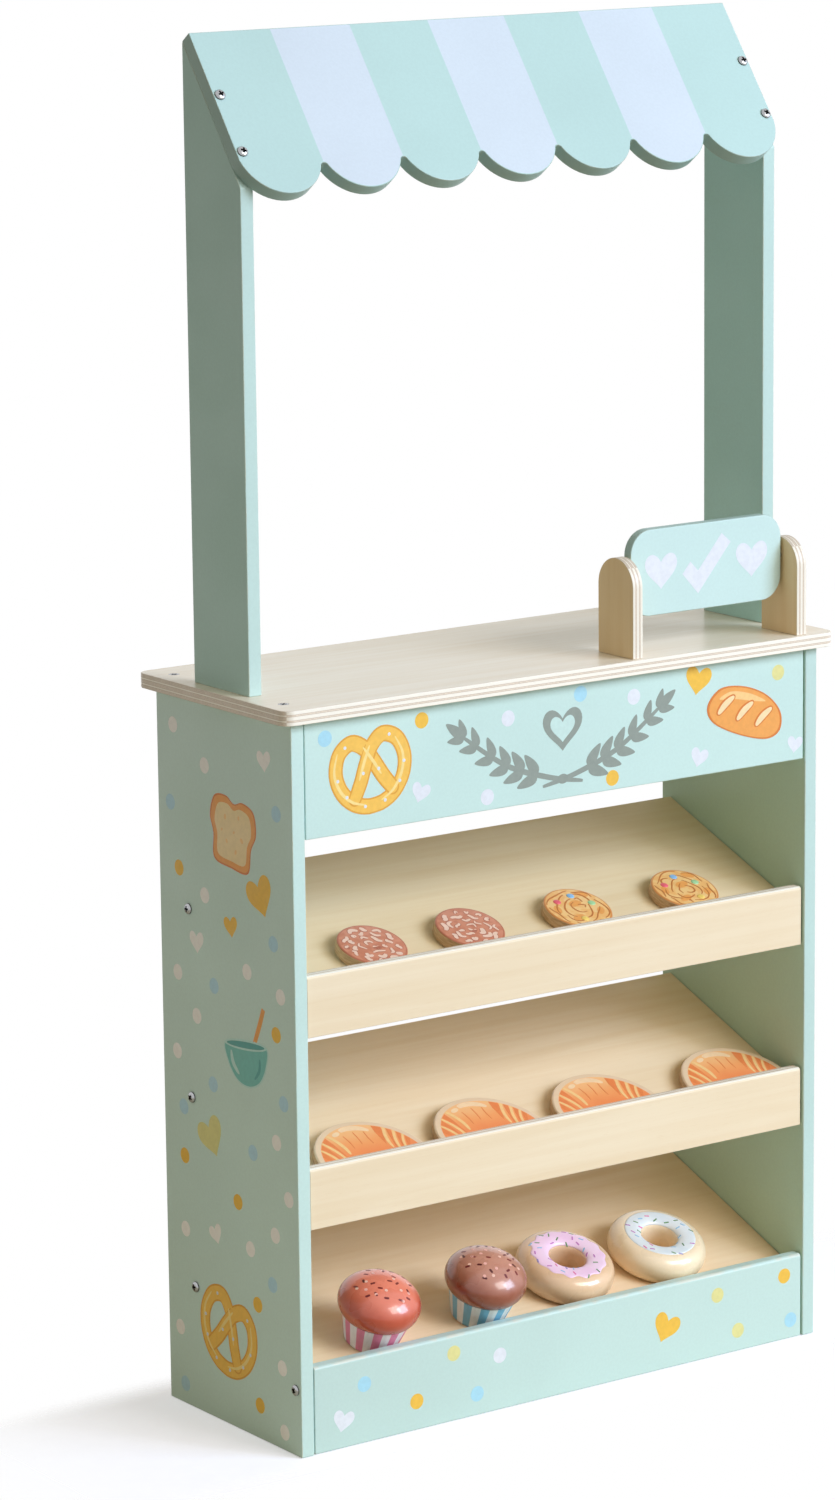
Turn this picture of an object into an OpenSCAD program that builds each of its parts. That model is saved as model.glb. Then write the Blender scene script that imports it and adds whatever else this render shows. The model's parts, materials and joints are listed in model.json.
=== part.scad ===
// Toy market stall: an open cabinet with three sloped display shelves, a counter,
// two posts with a scalloped awning, a flip-over sign and a set of wooden pastries.
// Millimetres. X runs across the front, Y from front to back, Z up from the floor.

/* [Cabinet] */
// Outer width over the two side panels
cabinet_w = 525; // [460:1:640]
// Depth of the side panels from front to back
cabinet_d = 192; // [176:1:260]
// Height of the side panels
panel_h = 594; // [560:1:680]
// Thickness of every board of the cabinet, the posts and the awning
board_t = 12; // [10:0.5:16]
// Height of the header panel under the counter
header_h = 94; // [60:1:110]
// Distance of the header and kick panels behind the front edges of the side panels
panel_recess = 1; // [0:0.5:6]
// Gap between a side panel and the end of a board that spans the cabinet
end_gap = 0.5; // [0.1:0.1:0.8]

/* [Shelves] */
// Slope of the shelves, rising towards the back, in degrees
shelf_slope = 21; // [14:1:24]
// Height of the top shelf's surface where it meets its lip
top_shelf_z = 374; // [350:1:390]
// Height of the middle shelf's surface where it meets its lip
middle_shelf_z = 218; // [205:1:232]
// Height of the bottom shelf's surface where it meets the kick panel
bottom_shelf_z = 58; // [45:1:70]
// Distance of the shelves' rear edges from the back edges of the side panels
shelf_back_gap = 12; // [6:1:30]
// Height of a lip board
lip_h = 50; // [36:1:56]
// Height of a lip above the surface of its shelf
lip_rise = 17; // [12:0.5:24]
// Distance of the lips behind the front edges of the side panels
lip_recess = 2.5; // [0:0.5:6]
// Height of the kick panel above the surface of the bottom shelf
kick_rise = 14.4; // [10:0.2:20]
// Radius of the rounded top edges of the lips and the kick panel
lip_edge_r = 3; // [1:0.5:4.5]

/* [Counter] */
// Overhang of the counter beyond each side panel
counter_side_overhang = 12; // [4:1:30]
// Overhang of the counter beyond the front and back edges of the side panels
counter_front_overhang = 10; // [6:1:30]
// Radius of the counter's corners
counter_corner_r = 10; // [3:1:25]

/* [Posts and awning] */
// Width of a post from front to back
post_w = 78; // [60:1:100]
// Height of a post's back edge above the counter
post_h = 502.5; // [440:0.5:560]
// Slope of the awning in degrees from the horizontal
awning_slope = 54; // [45:1:62]
// Length of the awning down its slope, from the top edge to the scallop tips
awning_len = 147; // [140:1:180]
// Number of scallops, one for each painted stripe
scallop_count = 7; // [5:2:9]
// How far the radius of a scallop is larger than half its stripe
scallop_bulge = 0.5; // [0.2:0.1:3]
// Radius that the cutter leaves between two scallops
notch_r = 3; // [1.5:0.5:5]
// Distance of the upper awning screws from the awning's top edge
awning_screw_inset = 57; // [30:1:70]
// Distance between the upper and lower awning screws
awning_screw_pitch = 51; // [25:1:55]

/* [Sign] */
// Length of the sign board
sign_w = 156; // [100:1:200]
// Height of the sign board
sign_h = 71; // [50:1:90]
// Thickness of the sign board
sign_t = 9; // [8:0.5:14]
// Radius of the sign board's corners
sign_corner_r = 20; // [6:1:24]
// Distance of the right bracket from the inner face of the right side panel, seen from above
sign_side_gap = 4.5; // [2:0.5:60]
// Distance of the sign's centre behind the front edges of the side panels
sign_set_back = 17; // [15:0.5:40]
// Height of the sign's pivot above the counter
sign_pivot_h = 65; // [54:0.5:75]
// Gap between the sign board and each bracket
sign_gap = 2; // [1:0.25:5]
// Thickness of a bracket
bracket_t = 10; // [9:0.5:14]
// Depth of a bracket from front to back, which sets its round top
bracket_w = 46; // [40:1:50]
// Height of a bracket
bracket_h = 80; // [76:1:100]
// Diameter of the pivot pins
pin_d = 5; // [3:0.5:6]
// Length of a pivot pin inside the sign board
pin_grip = 13; // [8:1:25]
// Length of a pivot pin inside its bracket
pin_bearing = 5; // [3:0.5:6]

/* [Fasteners] */
// Diameter of the screw shanks
screw_d = 4; // [3:0.5:5]
// Diameter of the screw heads
screw_head_d = 9; // [7:0.5:10]
// Height of the screw heads
screw_head_h = 2.6; // [2:0.1:3.4]
// Diameter of the flat on top of a pan head
screw_head_top_d = 6.3; // [5.8:0.1:6.8]
// Length of the cross recess in a screw head
recess_len = 5.4; // [3:0.1:5.6]
// Width of the cross recess in a screw head
recess_w = 1.2; // [0.8:0.1:1.6]
// Depth of the cross recess in a screw head
recess_depth = 1.3; // [0.6:0.1:1.8]
// Length of a screw under its head
screw_len = 40; // [30:1:50]
// Length of a bracket screw under its head
bracket_screw_len = 32; // [24:1:40]
// Diameter of the wooden dowels
dowel_d = 6; // [4:0.5:8]
// Length of an assembly dowel
dowel_len = 24; // [18:1:40]
// Length of an assembly dowel inside the side panel
dowel_grip = 8; // [5:0.5:9]
// Length of a post dowel inside the post and inside the side panel
post_dowel_grip = 24; // [15:1:40]
// Distance between the two dowels of a post
post_dowel_pitch = 44; // [20:1:50]
// Distance of the counter screws from the front and back edges of the side panels
counter_screw_inset = 18; // [10:1:30]
// Distance of the shelf screws from the back edges of the side panels
shelf_screw_inset = 42; // [30:1:70]
// Distance of the shelf dowels behind the lip
shelf_dowel_inset = 26; // [12:1:40]
// Distance of the header dowels from the header's long edges
header_dowel_inset = 20; // [10:1:28]
// Distance of the kick panel's screws below its top edge
kick_screw_inset = 17.5; // [10:0.5:25]
// Height of the kick panel's dowels above the floor
kick_dowel_z = 20; // [10:1:26]
// Distance between the two screws of a sign bracket
bracket_screw_pitch = 13; // [10:0.5:14]
// Room for the driver between a bracket screw's head and the back of the header
driver_room = 1.5; // [1:0.25:4]

/* [Pastries] */
// Diameter of a cookie
cookie_d = 58; // [40:1:70]
// Thickness of the cookies and croissants
flat_pastry_t = 10; // [6:0.5:15]
// Width of the worn edge round a cookie
cookie_edge = 1.2; // [0.4:0.2:2.5]
// Radius of a croissant's back
croissant_r = 51; // [40:1:54]
// Radius of a croissant's tips
croissant_tip_r = 6; // [4:0.5:9]
// Depth of the hollow between a croissant's tips
croissant_hollow = 5; // [4:0.5:16]
// Diameter of a muffin's top
muffin_d = 68.6; // [60:0.2:74]
// Height of a muffin's crown above its widest line
muffin_crown = 21.3; // [14:0.1:30]
// Lower diameter of a muffin's cup
cup_bottom_d = 45; // [40:1:56]
// Upper diameter of a muffin's cup
cup_top_d = 57; // [48:1:60]
// Height of a muffin's cup
cup_h = 24.5; // [18:0.5:34]
// Diameter of the spigot that joins a muffin's cup to its top
spigot_d = 16; // [10:1:24]
// Length of the spigot
spigot_h = 14; // [6:1:18]
// Diameter of a donut
donut_d = 84; // [70:1:90]
// Diameter of a donut's hole
donut_hole_d = 28; // [20:1:36]
// Height of a donut
donut_h = 27; // [22:1:36]
// Depth of the flat that a donut rests on
donut_flat = 0.8; // [0.4:0.1:2]
// Gaps beside and between the cookies, from left to right, in proportion
cookie_gaps = [62, 38, 51, 53, 65]; // [5:0.5:100]
// Gaps beside and between the croissants, from left to right, in proportion
croissant_gaps = [23, 15, 17, 33, 5]; // [5:0.5:100]
// Gaps beside and between the muffins and donuts, from left to right, in proportion
bottom_row_gaps = [50.2, 37.4, 21.7, 12.5, 74]; // [5:0.1:100]

/* [Fits] */
// Radial clearance round a screw or a dowel in its hole
fastener_fit = 0.1; // [0.05:0.01:0.3]
// Radial clearance round a pivot pin
pin_fit = 0.05; // [0.02:0.01:0.1]
// Room left past the end of a screw, dowel or pin in a blind hole
end_room = 1; // [0.5:0.1:2]
// Gap between a resting pastry and the boards that hold it
rest_gap = 0.3; // [0.2:0.05:0.5]

/* [Hidden] */
$fn = 96;
// How far a cut runs past a face
cut_past = 1;

// Paint and timber colours
mint = [0.77, 0.90, 0.88];
ply = [0.94, 0.88, 0.76];
birch = [0.87, 0.78, 0.62];
chrome = [0.75, 0.76, 0.78];
terracotta = [0.78, 0.42, 0.33];
cocoa = [0.55, 0.38, 0.31];
golden = [0.93, 0.72, 0.42];
toffee = [0.93, 0.62, 0.36];
biscuit = [0.80, 0.66, 0.50];
cream = [0.93, 0.84, 0.70];
pink = [0.90, 0.62, 0.70];
blue = [0.58, 0.77, 0.86];

// Main planes of the cabinet
front_y = -cabinet_d / 2;
back_y = cabinet_d / 2;
inner_w = cabinet_w - 2 * board_t;
span_w = inner_w - 2 * end_gap;
panel_mid_x = cabinet_w / 2 - board_t / 2;
counter_top_z = panel_h + board_t;

// Front boards: middle of the thickness and the back face
header_y = front_y + panel_recess + board_t / 2;
lip_y = front_y + lip_recess + board_t / 2;
lip_back_y = lip_y + board_t / 2;
kick_back_y = header_y + board_t / 2;
kick_h = bottom_shelf_z + kick_rise;
lip_mid_drop = lip_h / 2 - lip_rise;

// A shelf is given as [y, z] of the line where its surface meets the board in front of it
top_seat = [lip_back_y, top_shelf_z];
middle_seat = [lip_back_y, middle_shelf_z];
bottom_seat = [kick_back_y, bottom_shelf_z];
shelf_seats = [top_seat, middle_seat, bottom_seat];
shelf_rear_y = back_y - shelf_back_gap;
shelf_screw_y = back_y - shelf_screw_inset;

// Height of the middle of a shelf's thickness at a given y
function shelf_mid_z(seat, y) = seat.y + (y - seat.x) * tan(shelf_slope) - board_t / 2 / cos(shelf_slope);

// Places of the screws and dowels in a side panel, as [y, z]
screw_spots = concat(
    [for (seat = shelf_seats) [shelf_screw_y, shelf_mid_z(seat, shelf_screw_y)]],
    [[header_y, kick_h - kick_screw_inset]]
);
dowel_spots = concat(
    [for (seat = shelf_seats) [seat.x + shelf_dowel_inset, shelf_mid_z(seat, seat.x + shelf_dowel_inset)]],
    [for (seat = [top_seat, middle_seat]) [lip_y, seat.y - lip_mid_drop]],
    [for (z = [panel_h - header_dowel_inset, panel_h - header_h + header_dowel_inset]) [header_y, z]],
    [[header_y, kick_dowel_z]]
);

// Overlap of two rounds that run into each other, so that they meet in a clean edge
round_overlap = 0.15;

// Posts and awning
post_top_z = counter_top_z + post_h;
post_front_drop = post_w * tan(awning_slope);
scallop_w = cabinet_w / scallop_count;
scallop_r = scallop_w / 2 + scallop_bulge;
scallop_drop = awning_len - scallop_r;
notch_depth = sqrt(pow(scallop_r + notch_r, 2) - pow(scallop_w / 2, 2));
web_depth = notch_depth * scallop_r / (scallop_r + notch_r);

// Sign
sign_x = inner_w / 2 - sign_side_gap - bracket_t - sign_gap - sign_w / 2;
sign_y = front_y + sign_set_back;
sign_z = counter_top_z + sign_pivot_h;
bracket_mid_x = sign_w / 2 + sign_gap + bracket_t / 2;
bracket_round_r = bracket_w / 2;
pin_len = pin_grip + sign_gap + pin_bearing;
bracket_screw_y = max(kick_back_y + screw_head_d / 2 + driver_room, sign_y - bracket_screw_pitch / 2);

// Sum of the first n numbers of a list
function total(list, n) = n == 0 ? 0 : list[n - 1] + total(list, n - 1);

// Middle of piece i in a row that fills the space between the side panels
function row_x(i, sizes, gaps) =
    let (free_w = inner_w - total(sizes, len(sizes)))
    total(gaps, i + 1) * free_w / total(gaps, len(gaps)) + total(sizes, i) + sizes[i] / 2 - inner_w / 2;

// Pastries
cookie_sizes = [for (i = [0 : 3]) cookie_d];
croissant_sizes = [for (i = [0 : 3]) 2 * croissant_r];
bottom_row_sizes = [muffin_d, muffin_d, donut_d, donut_d];
crown_steps = 18;
ring_steps = 30;
slope_lean = tan(shelf_slope);
flat_rest_y = flat_pastry_t * slope_lean + rest_gap;
kick_edge_y = kick_rise * sin(shelf_slope);
kick_edge_n = kick_rise * cos(shelf_slope);
muffin_r = muffin_d / 2;
crown_start = -acos(cup_top_d / muffin_d);
muffin_mid_h = cup_h - muffin_crown * sin(crown_start);
cup_edge_r = cup_bottom_d / 2 + (cup_top_d - cup_bottom_d) / 2 * kick_edge_n / cup_h;
muffin_rest_y = kick_edge_y + cup_edge_r + rest_gap;
donut_rest_y = kick_edge_y + donut_d / 2 + rest_gap;
tip_hold = croissant_tip_r - round_overlap;
tip_x = sqrt(pow(croissant_r - tip_hold, 2) - pow(croissant_tip_r, 2));
hollow_reach = croissant_hollow + tip_hold;
hollow_drop = (pow(tip_x, 2) + pow(croissant_tip_r, 2) - pow(hollow_reach, 2))
    / (2 * (hollow_reach - croissant_tip_r));

// The shape and its mirror image across the middle of the stall
module both_sides() {
    children();
    mirror([1, 0, 0]) children();
}

// A profile drawn as [y, z], drawn out along X about the middle
module along_x(length) {
    rotate([90, 0, 90]) linear_extrude(length, center = true) children();
}

// A plate outline with round corners, centred
module rounded_plate(w, h, r) {
    square([w - 2 * r, h], center = true);
    square([w, h - 2 * r], center = true);
    for (x = [-1, 1], y = [-1, 1])
        translate([x * (w / 2 - r), y * (h / 2 - r)]) circle(r);
}

// A board's cross-section with both top edges rounded, centred on its thickness
module rounded_top(h) {
    translate([-board_t / 2, 0]) square([board_t, h - lip_edge_r]);
    translate([-board_t / 2 + lip_edge_r, 0]) square([board_t - 2 * lip_edge_r, h]);
    for (side = [-1, 1])
        translate([side * (board_t / 2 - lip_edge_r), h - lip_edge_r]) circle(lip_edge_r);
}

// Moves a shape from a shelf's own frame, with Y up its slope and Z off its surface
module on_shelf(seat) {
    translate([0, seat.x, seat.y]) rotate([shelf_slope, 0, 0]) children();
}

// Moves a shape from the awning's own frame, with Y up its slope and Z off its front face
module on_awning() {
    translate([0, post_w / 2, post_top_z]) rotate([awning_slope, 0, 0]) children();
}

// Cross recess in the top of a screw head
module cross_recess() {
    for (turn = [0, 90])
        rotate([0, 0, turn]) translate([-recess_len / 2, -recess_w / 2, -recess_depth])
            cube([recess_len, recess_w, recess_depth + cut_past]);
}

// Screw with a domed head, seated at Z = 0 with its shank pointing down
module pan_screw(length) {
    difference() {
        union() {
            cylinder(d1 = screw_head_d, d2 = screw_head_top_d, h = screw_head_h);
            translate([0, 0, -length]) cylinder(d = screw_d, h = length);
        }
        translate([0, 0, screw_head_h]) cross_recess();
    }
}

// Screw with a countersunk head, its top at Z = 0 and its shank pointing down
module flat_screw(length) {
    difference() {
        union() {
            translate([0, 0, -screw_head_h]) cylinder(d1 = screw_d, d2 = screw_head_d, h = screw_head_h);
            translate([0, 0, -length]) cylinder(d = screw_d, h = length);
        }
        cross_recess();
    }
}

// Hole for a screw shank that enters at Z = 0 and points down
module screw_hole(length) {
    translate([0, 0, -length - end_room])
        cylinder(d = screw_d + 2 * fastener_fit, h = length + 2 * end_room);
}

// Places a shape pointing out of the right side panel at [y, z]
module at_side(spot, x = cabinet_w / 2) {
    translate([x, spot.x, spot.y]) rotate([0, 90, 0]) children();
}

// Screw and dowel holes at the right ends of the boards that span the cabinet
module end_holes() {
    for (spot = screw_spots)
        at_side(spot) screw_hole(screw_len);
    for (spot = dowel_spots)
        at_side(spot, inner_w / 2 + dowel_grip - dowel_len - end_room)
            cylinder(d = dowel_d + 2 * fastener_fit, h = dowel_len + 2 * end_room);
}

// Places a shape at the right post's two dowels
module at_post_dowels() {
    for (y = [-1, 1])
        translate([panel_mid_x, y * post_dowel_pitch / 2, 0]) children();
}

// Holes for the right post's two dowels, through the counter into the post and the side panel
module post_dowel_holes() {
    at_post_dowels()
        translate([0, 0, panel_h - post_dowel_grip - end_room])
            cylinder(d = dowel_d + 2 * fastener_fit, h = board_t + 2 * (post_dowel_grip + end_room));
}

// Places a shape at the right side's two counter screws
module at_counter_screws() {
    for (y = [-1, 1])
        translate([panel_mid_x, y * (cabinet_d / 2 - counter_screw_inset), counter_top_z]) children();
}

// Places a shape at the right side's two awning screws, in the awning's own frame
module at_awning_screws() {
    for (drop = [awning_screw_inset, awning_screw_inset + awning_screw_pitch])
        translate([panel_mid_x, -drop, board_t]) children();
}

// Places a shape under the counter at the screws of both sign brackets
module at_bracket_screws() {
    for (x = [-1, 1], step = [0, 1])
        translate([sign_x + x * bracket_mid_x, bracket_screw_y + step * bracket_screw_pitch, panel_h])
            rotate([180, 0, 0]) children();
}

module right_side_panel() {
    color(mint) difference() {
        translate([inner_w / 2, front_y, 0]) cube([board_t, cabinet_d, panel_h]);
        end_holes();
        post_dowel_holes();
        at_counter_screws() screw_hole(screw_len);
    }
}

module left_side_panel() {
    mirror([1, 0, 0]) right_side_panel();
}

module countertop() {
    w = cabinet_w + 2 * counter_side_overhang;
    d = cabinet_d + 2 * counter_front_overhang;
    seat_d = screw_head_d + 2 * fastener_fit;
    color(ply) difference() {
        translate([0, 0, panel_h]) linear_extrude(board_t) rounded_plate(w, d, counter_corner_r);
        both_sides() {
            post_dowel_holes();
            at_counter_screws() {
                screw_hole(screw_len);
                translate([0, 0, -screw_head_h])
                    cylinder(d1 = screw_d + 2 * fastener_fit, d2 = seat_d, h = screw_head_h);
                cylinder(d = seat_d, h = cut_past);
            }
        }
        at_bracket_screws() screw_hole(bracket_screw_len);
    }
}

module header_panel() {
    color(mint) difference() {
        translate([-span_w / 2, header_y - board_t / 2, panel_h - header_h])
            cube([span_w, board_t, header_h]);
        both_sides() end_holes();
    }
}

module kick_panel() {
    color(mint) difference() {
        translate([0, header_y, 0]) along_x(span_w) rounded_top(kick_h);
        both_sides() end_holes();
    }
}

// Shelf board: front edge cut upright against the board in front, rear edge cut square
module shelf(seat) {
    rear_z = seat.y + (shelf_rear_y - seat.x) * tan(shelf_slope);
    rear_low = [shelf_rear_y + board_t * sin(shelf_slope), rear_z - board_t * cos(shelf_slope)];
    color(ply) difference() {
        along_x(span_w)
            polygon([seat, [seat.x, seat.y - board_t / cos(shelf_slope)], rear_low, [shelf_rear_y, rear_z]]);
        both_sides() end_holes();
    }
}

module top_shelf() {
    shelf(top_seat);
}

module middle_shelf() {
    shelf(middle_seat);
}

module bottom_shelf() {
    shelf(bottom_seat);
}

module lip(seat) {
    color(ply) difference() {
        translate([0, lip_y, seat.y + lip_rise - lip_h]) along_x(span_w) rounded_top(lip_h);
        both_sides() end_holes();
    }
}

module top_shelf_lip() {
    lip(top_seat);
}

module middle_shelf_lip() {
    lip(middle_seat);
}

module right_post() {
    color(mint) difference() {
        translate([panel_mid_x, 0, 0]) along_x(board_t)
            polygon([
                [-post_w / 2, counter_top_z], [post_w / 2, counter_top_z],
                [post_w / 2, post_top_z], [-post_w / 2, post_top_z - post_front_drop]
            ]);
        post_dowel_holes();
        on_awning() at_awning_screws() screw_hole(screw_len);
    }
}

module left_post() {
    mirror([1, 0, 0]) right_post();
}

// Awning outline with its top edge on Y = 0: round scallops and the small rounds between them
module awning_outline() {
    difference() {
        intersection() {
            translate([-cabinet_w / 2, -awning_len]) square([cabinet_w, awning_len]);
            union() {
                translate([-cabinet_w / 2, -scallop_drop]) square([cabinet_w, scallop_drop]);
                translate([-cabinet_w / 2 + scallop_w / 2, -scallop_drop - web_depth])
                    square([cabinet_w - scallop_w, web_depth + cut_past]);
                for (i = [0 : scallop_count - 1])
                    translate([scallop_w * (i + 0.5) - cabinet_w / 2, -scallop_drop]) circle(scallop_r);
            }
        }
        for (i = [1 : scallop_count - 1])
            translate([scallop_w * i - cabinet_w / 2, -scallop_drop - notch_depth])
                circle(notch_r + round_overlap);
    }
}

module awning_board() {
    color(mint) on_awning() difference() {
        linear_extrude(board_t) awning_outline();
        both_sides() at_awning_screws() screw_hole(screw_len);
    }
}

// Upright bracket with a round top and a blind bearing hole facing the sign, seen from the sign
module sign_bracket(side) {
    inner_x = sign_x + side * (sign_w / 2 + sign_gap);
    color(ply) difference() {
        translate([sign_x + side * bracket_mid_x, sign_y, counter_top_z]) along_x(bracket_t) {
            translate([-bracket_w / 2, 0]) square([bracket_w, bracket_h - bracket_round_r]);
            translate([0, bracket_h - bracket_round_r]) circle(bracket_round_r);
        }
        translate([inner_x - side * cut_past, sign_y, sign_z]) rotate([0, side * 90, 0])
            cylinder(d = pin_d + 2 * pin_fit, h = pin_bearing + end_room + cut_past);
        at_bracket_screws() screw_hole(bracket_screw_len);
    }
}

module sign_left_bracket() {
    sign_bracket(-1);
}

module sign_right_bracket() {
    sign_bracket(1);
}

module sign_board() {
    hole_len = pin_grip + end_room;
    color(mint) translate([sign_x, sign_y, sign_z]) difference() {
        rotate([90, 0, 0]) linear_extrude(sign_t, center = true) rounded_plate(sign_w, sign_h, sign_corner_r);
        both_sides() translate([sign_w / 2 - hole_len, 0, 0]) rotate([0, 90, 0])
            cylinder(d = pin_d + 2 * pin_fit, h = hole_len + cut_past);
    }
}

module sign_pivot_pins() {
    color(chrome) translate([sign_x, sign_y, sign_z])
        both_sides() translate([sign_w / 2 - pin_grip, 0, 0]) rotate([0, 90, 0])
            cylinder(d = pin_d, h = pin_len);
}

module side_screws() {
    color(chrome) both_sides()
        for (spot = screw_spots)
            at_side(spot) pan_screw(screw_len);
}

module counter_screws() {
    color(chrome) both_sides() at_counter_screws() flat_screw(screw_len);
}

module awning_screws() {
    color(chrome) on_awning() both_sides() at_awning_screws() pan_screw(screw_len);
}

module bracket_screws() {
    color(chrome) at_bracket_screws() pan_screw(bracket_screw_len);
}

module assembly_dowels() {
    color(birch) both_sides()
        for (spot = dowel_spots)
            at_side(spot, inner_w / 2 + dowel_grip - dowel_len) cylinder(d = dowel_d, h = dowel_len);
}

module post_dowels() {
    color(birch) both_sides() at_post_dowels()
        translate([0, 0, panel_h - post_dowel_grip]) cylinder(d = dowel_d, h = board_t + 2 * post_dowel_grip);
}

// Flat round cookie with worn edges, resting against the top lip
module cookie(i, tone) {
    r = cookie_d / 2;
    color(tone) on_shelf(top_seat) translate([row_x(i, cookie_sizes, cookie_gaps), r + flat_rest_y, rest_gap])
        rotate_extrude() polygon([
            [0, 0], [r - cookie_edge, 0], [r, cookie_edge],
            [r, flat_pastry_t - cookie_edge], [r - cookie_edge, flat_pastry_t], [0, flat_pastry_t]
        ]);
}

// Croissant outline: a round back, two round tips on Y = 0 and a hollow between them
module croissant_outline() {
    run_past = 1.3;
    out = run_past * croissant_r / (croissant_r - croissant_tip_r);
    down = run_past * croissant_tip_r / norm([tip_x, croissant_tip_r + hollow_drop]);
    low = [tip_x * (1 - down), croissant_tip_r - (croissant_tip_r + hollow_drop) * down];
    difference() {
        intersection() {
            circle(croissant_r);
            polygon([
                low, [tip_x, croissant_tip_r], [tip_x * out, croissant_tip_r * out],
                [tip_x * out, 2 * croissant_r], [-tip_x * out, 2 * croissant_r],
                [-tip_x * out, croissant_tip_r * out], [-tip_x, croissant_tip_r], [-low.x, low.y]
            ]);
        }
        translate([0, -hollow_drop]) circle(hollow_drop + croissant_hollow);
    }
    for (side = [-1, 1])
        translate([side * tip_x, croissant_tip_r]) circle(croissant_tip_r);
}

module croissant(i) {
    color(toffee) on_shelf(middle_seat)
        translate([row_x(i, croissant_sizes, croissant_gaps), flat_rest_y, rest_gap])
        linear_extrude(flat_pastry_t) croissant_outline();
}

// Moves a shape to place i of the bottom shelf's row, y up its slope from the kick panel
module at_bottom_row(i, y) {
    on_shelf(bottom_seat) translate([row_x(i, bottom_row_sizes, bottom_row_gaps), y, rest_gap]) children();
}

// Domed muffin top with a flat underside and a hole for the cup's spigot
module muffin_top(i, tone) {
    color(tone) at_bottom_row(i, muffin_rest_y) difference() {
        rotate_extrude() polygon(concat(
            [[0, cup_h]],
            [for (s = [0 : crown_steps]) let (a = crown_start + (90 - crown_start) * s / crown_steps)
                [muffin_r * cos(a), muffin_mid_h + muffin_crown * sin(a)]]
        ));
        translate([0, 0, cup_h - cut_past])
            cylinder(d = spigot_d + 2 * fastener_fit, h = spigot_h + end_room + cut_past);
    }
}

module muffin_cup(i, tone) {
    color(tone) at_bottom_row(i, muffin_rest_y) {
        cylinder(d1 = cup_bottom_d, d2 = cup_top_d, h = cup_h);
        cylinder(d = spigot_d, h = cup_h + spigot_h);
    }
}

// Ring with an oval section and a flat underside
module donut(i, tone) {
    ring_w = (donut_d - donut_hole_d) / 4;
    ring_h = (donut_h + donut_flat) / 2;
    color(tone) at_bottom_row(i, donut_rest_y)
        rotate_extrude() intersection() {
            translate([(donut_d + donut_hole_d) / 4, ring_h - donut_flat])
                polygon([for (s = [1 : ring_steps]) let (a = 360 * s / ring_steps)
                    [ring_w * cos(a), ring_h * sin(a)]]);
            square([donut_d, donut_h * 2]);
        }
}

left_side_panel();
right_side_panel();
countertop();
header_panel();
kick_panel();
top_shelf();
middle_shelf();
bottom_shelf();
top_shelf_lip();
middle_shelf_lip();
left_post();
right_post();
awning_board();
sign_left_bracket();
sign_right_bracket();
sign_board();
sign_pivot_pins();
side_screws();
counter_screws();
awning_screws();
bracket_screws();
assembly_dowels();
post_dowels();
cookie(0, terracotta);  // cookie_1
cookie(1, terracotta);  // cookie_2
cookie(2, golden);  // cookie_3
cookie(3, golden);  // cookie_4
croissant(0);  // croissant_1
croissant(1);  // croissant_2
croissant(2);  // croissant_3
croissant(3);  // croissant_4
muffin_top(0, terracotta);  // muffin_top_1
muffin_cup(0, pink);  // muffin_cup_1
muffin_top(1, cocoa);  // muffin_top_2
muffin_cup(1, blue);  // muffin_cup_2
donut(2, biscuit);  // donut_1
donut(3, cream);  // donut_2
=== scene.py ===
# %% [markdown]
# A wooden toy market stall: a cabinet with three sloped shelves, a counter, a striped awning and a flip-over sign.
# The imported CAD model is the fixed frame. Each step below takes a CAD solid, or rebuilds it with more detail,
# and gives it the finish of the real board, so that every piece stays where the CAD says.

# %% Open the frame
import json
import math
import random

import bmesh
import bpy
import numpy as np
from mathutils import Matrix, Vector
from mathutils.geometry import tessellate_polygon


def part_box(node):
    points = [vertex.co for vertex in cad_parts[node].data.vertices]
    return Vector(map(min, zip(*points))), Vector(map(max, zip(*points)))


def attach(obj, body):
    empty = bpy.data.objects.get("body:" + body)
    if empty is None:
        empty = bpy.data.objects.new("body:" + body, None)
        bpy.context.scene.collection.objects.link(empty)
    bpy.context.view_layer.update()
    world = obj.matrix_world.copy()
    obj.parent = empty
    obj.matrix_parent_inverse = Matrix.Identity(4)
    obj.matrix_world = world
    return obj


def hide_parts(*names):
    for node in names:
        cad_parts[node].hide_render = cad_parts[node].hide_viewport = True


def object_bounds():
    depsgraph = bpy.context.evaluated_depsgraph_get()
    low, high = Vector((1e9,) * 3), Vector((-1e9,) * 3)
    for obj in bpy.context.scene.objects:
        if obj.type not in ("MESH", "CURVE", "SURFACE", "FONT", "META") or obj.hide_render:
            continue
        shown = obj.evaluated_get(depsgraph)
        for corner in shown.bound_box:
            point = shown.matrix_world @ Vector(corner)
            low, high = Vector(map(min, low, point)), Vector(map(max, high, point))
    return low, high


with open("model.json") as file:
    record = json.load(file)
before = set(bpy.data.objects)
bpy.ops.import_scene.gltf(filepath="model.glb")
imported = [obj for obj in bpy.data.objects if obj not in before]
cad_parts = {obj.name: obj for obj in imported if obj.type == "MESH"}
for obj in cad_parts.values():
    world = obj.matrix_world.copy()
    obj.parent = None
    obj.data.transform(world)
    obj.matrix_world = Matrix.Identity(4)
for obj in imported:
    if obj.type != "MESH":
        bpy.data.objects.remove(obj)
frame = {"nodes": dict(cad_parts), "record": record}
cad_low, cad_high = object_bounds()
MM, TURN = 0.001, 2 * math.pi
X, Y, Z = Vector((1, 0, 0)), Vector((0, 1, 0)), Vector((0, 0, 1))

# %% [markdown]
# The camera stands to the left of the stall and looks slightly down through a long lens, which keeps the posts
# nearly parallel. Its turn, tilt and place were found by matching the corners of the boards, so they are plain numbers.

# %% Camera
SENSOR, LENS = 36.0, 123.686
AZIMUTH, PITCH, ROLL = (math.radians(angle) for angle in (35.2915, 11.7278, -0.6298))
CAMERA_PLACE = Vector((-2.42687, -3.32259, 1.37872))


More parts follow.
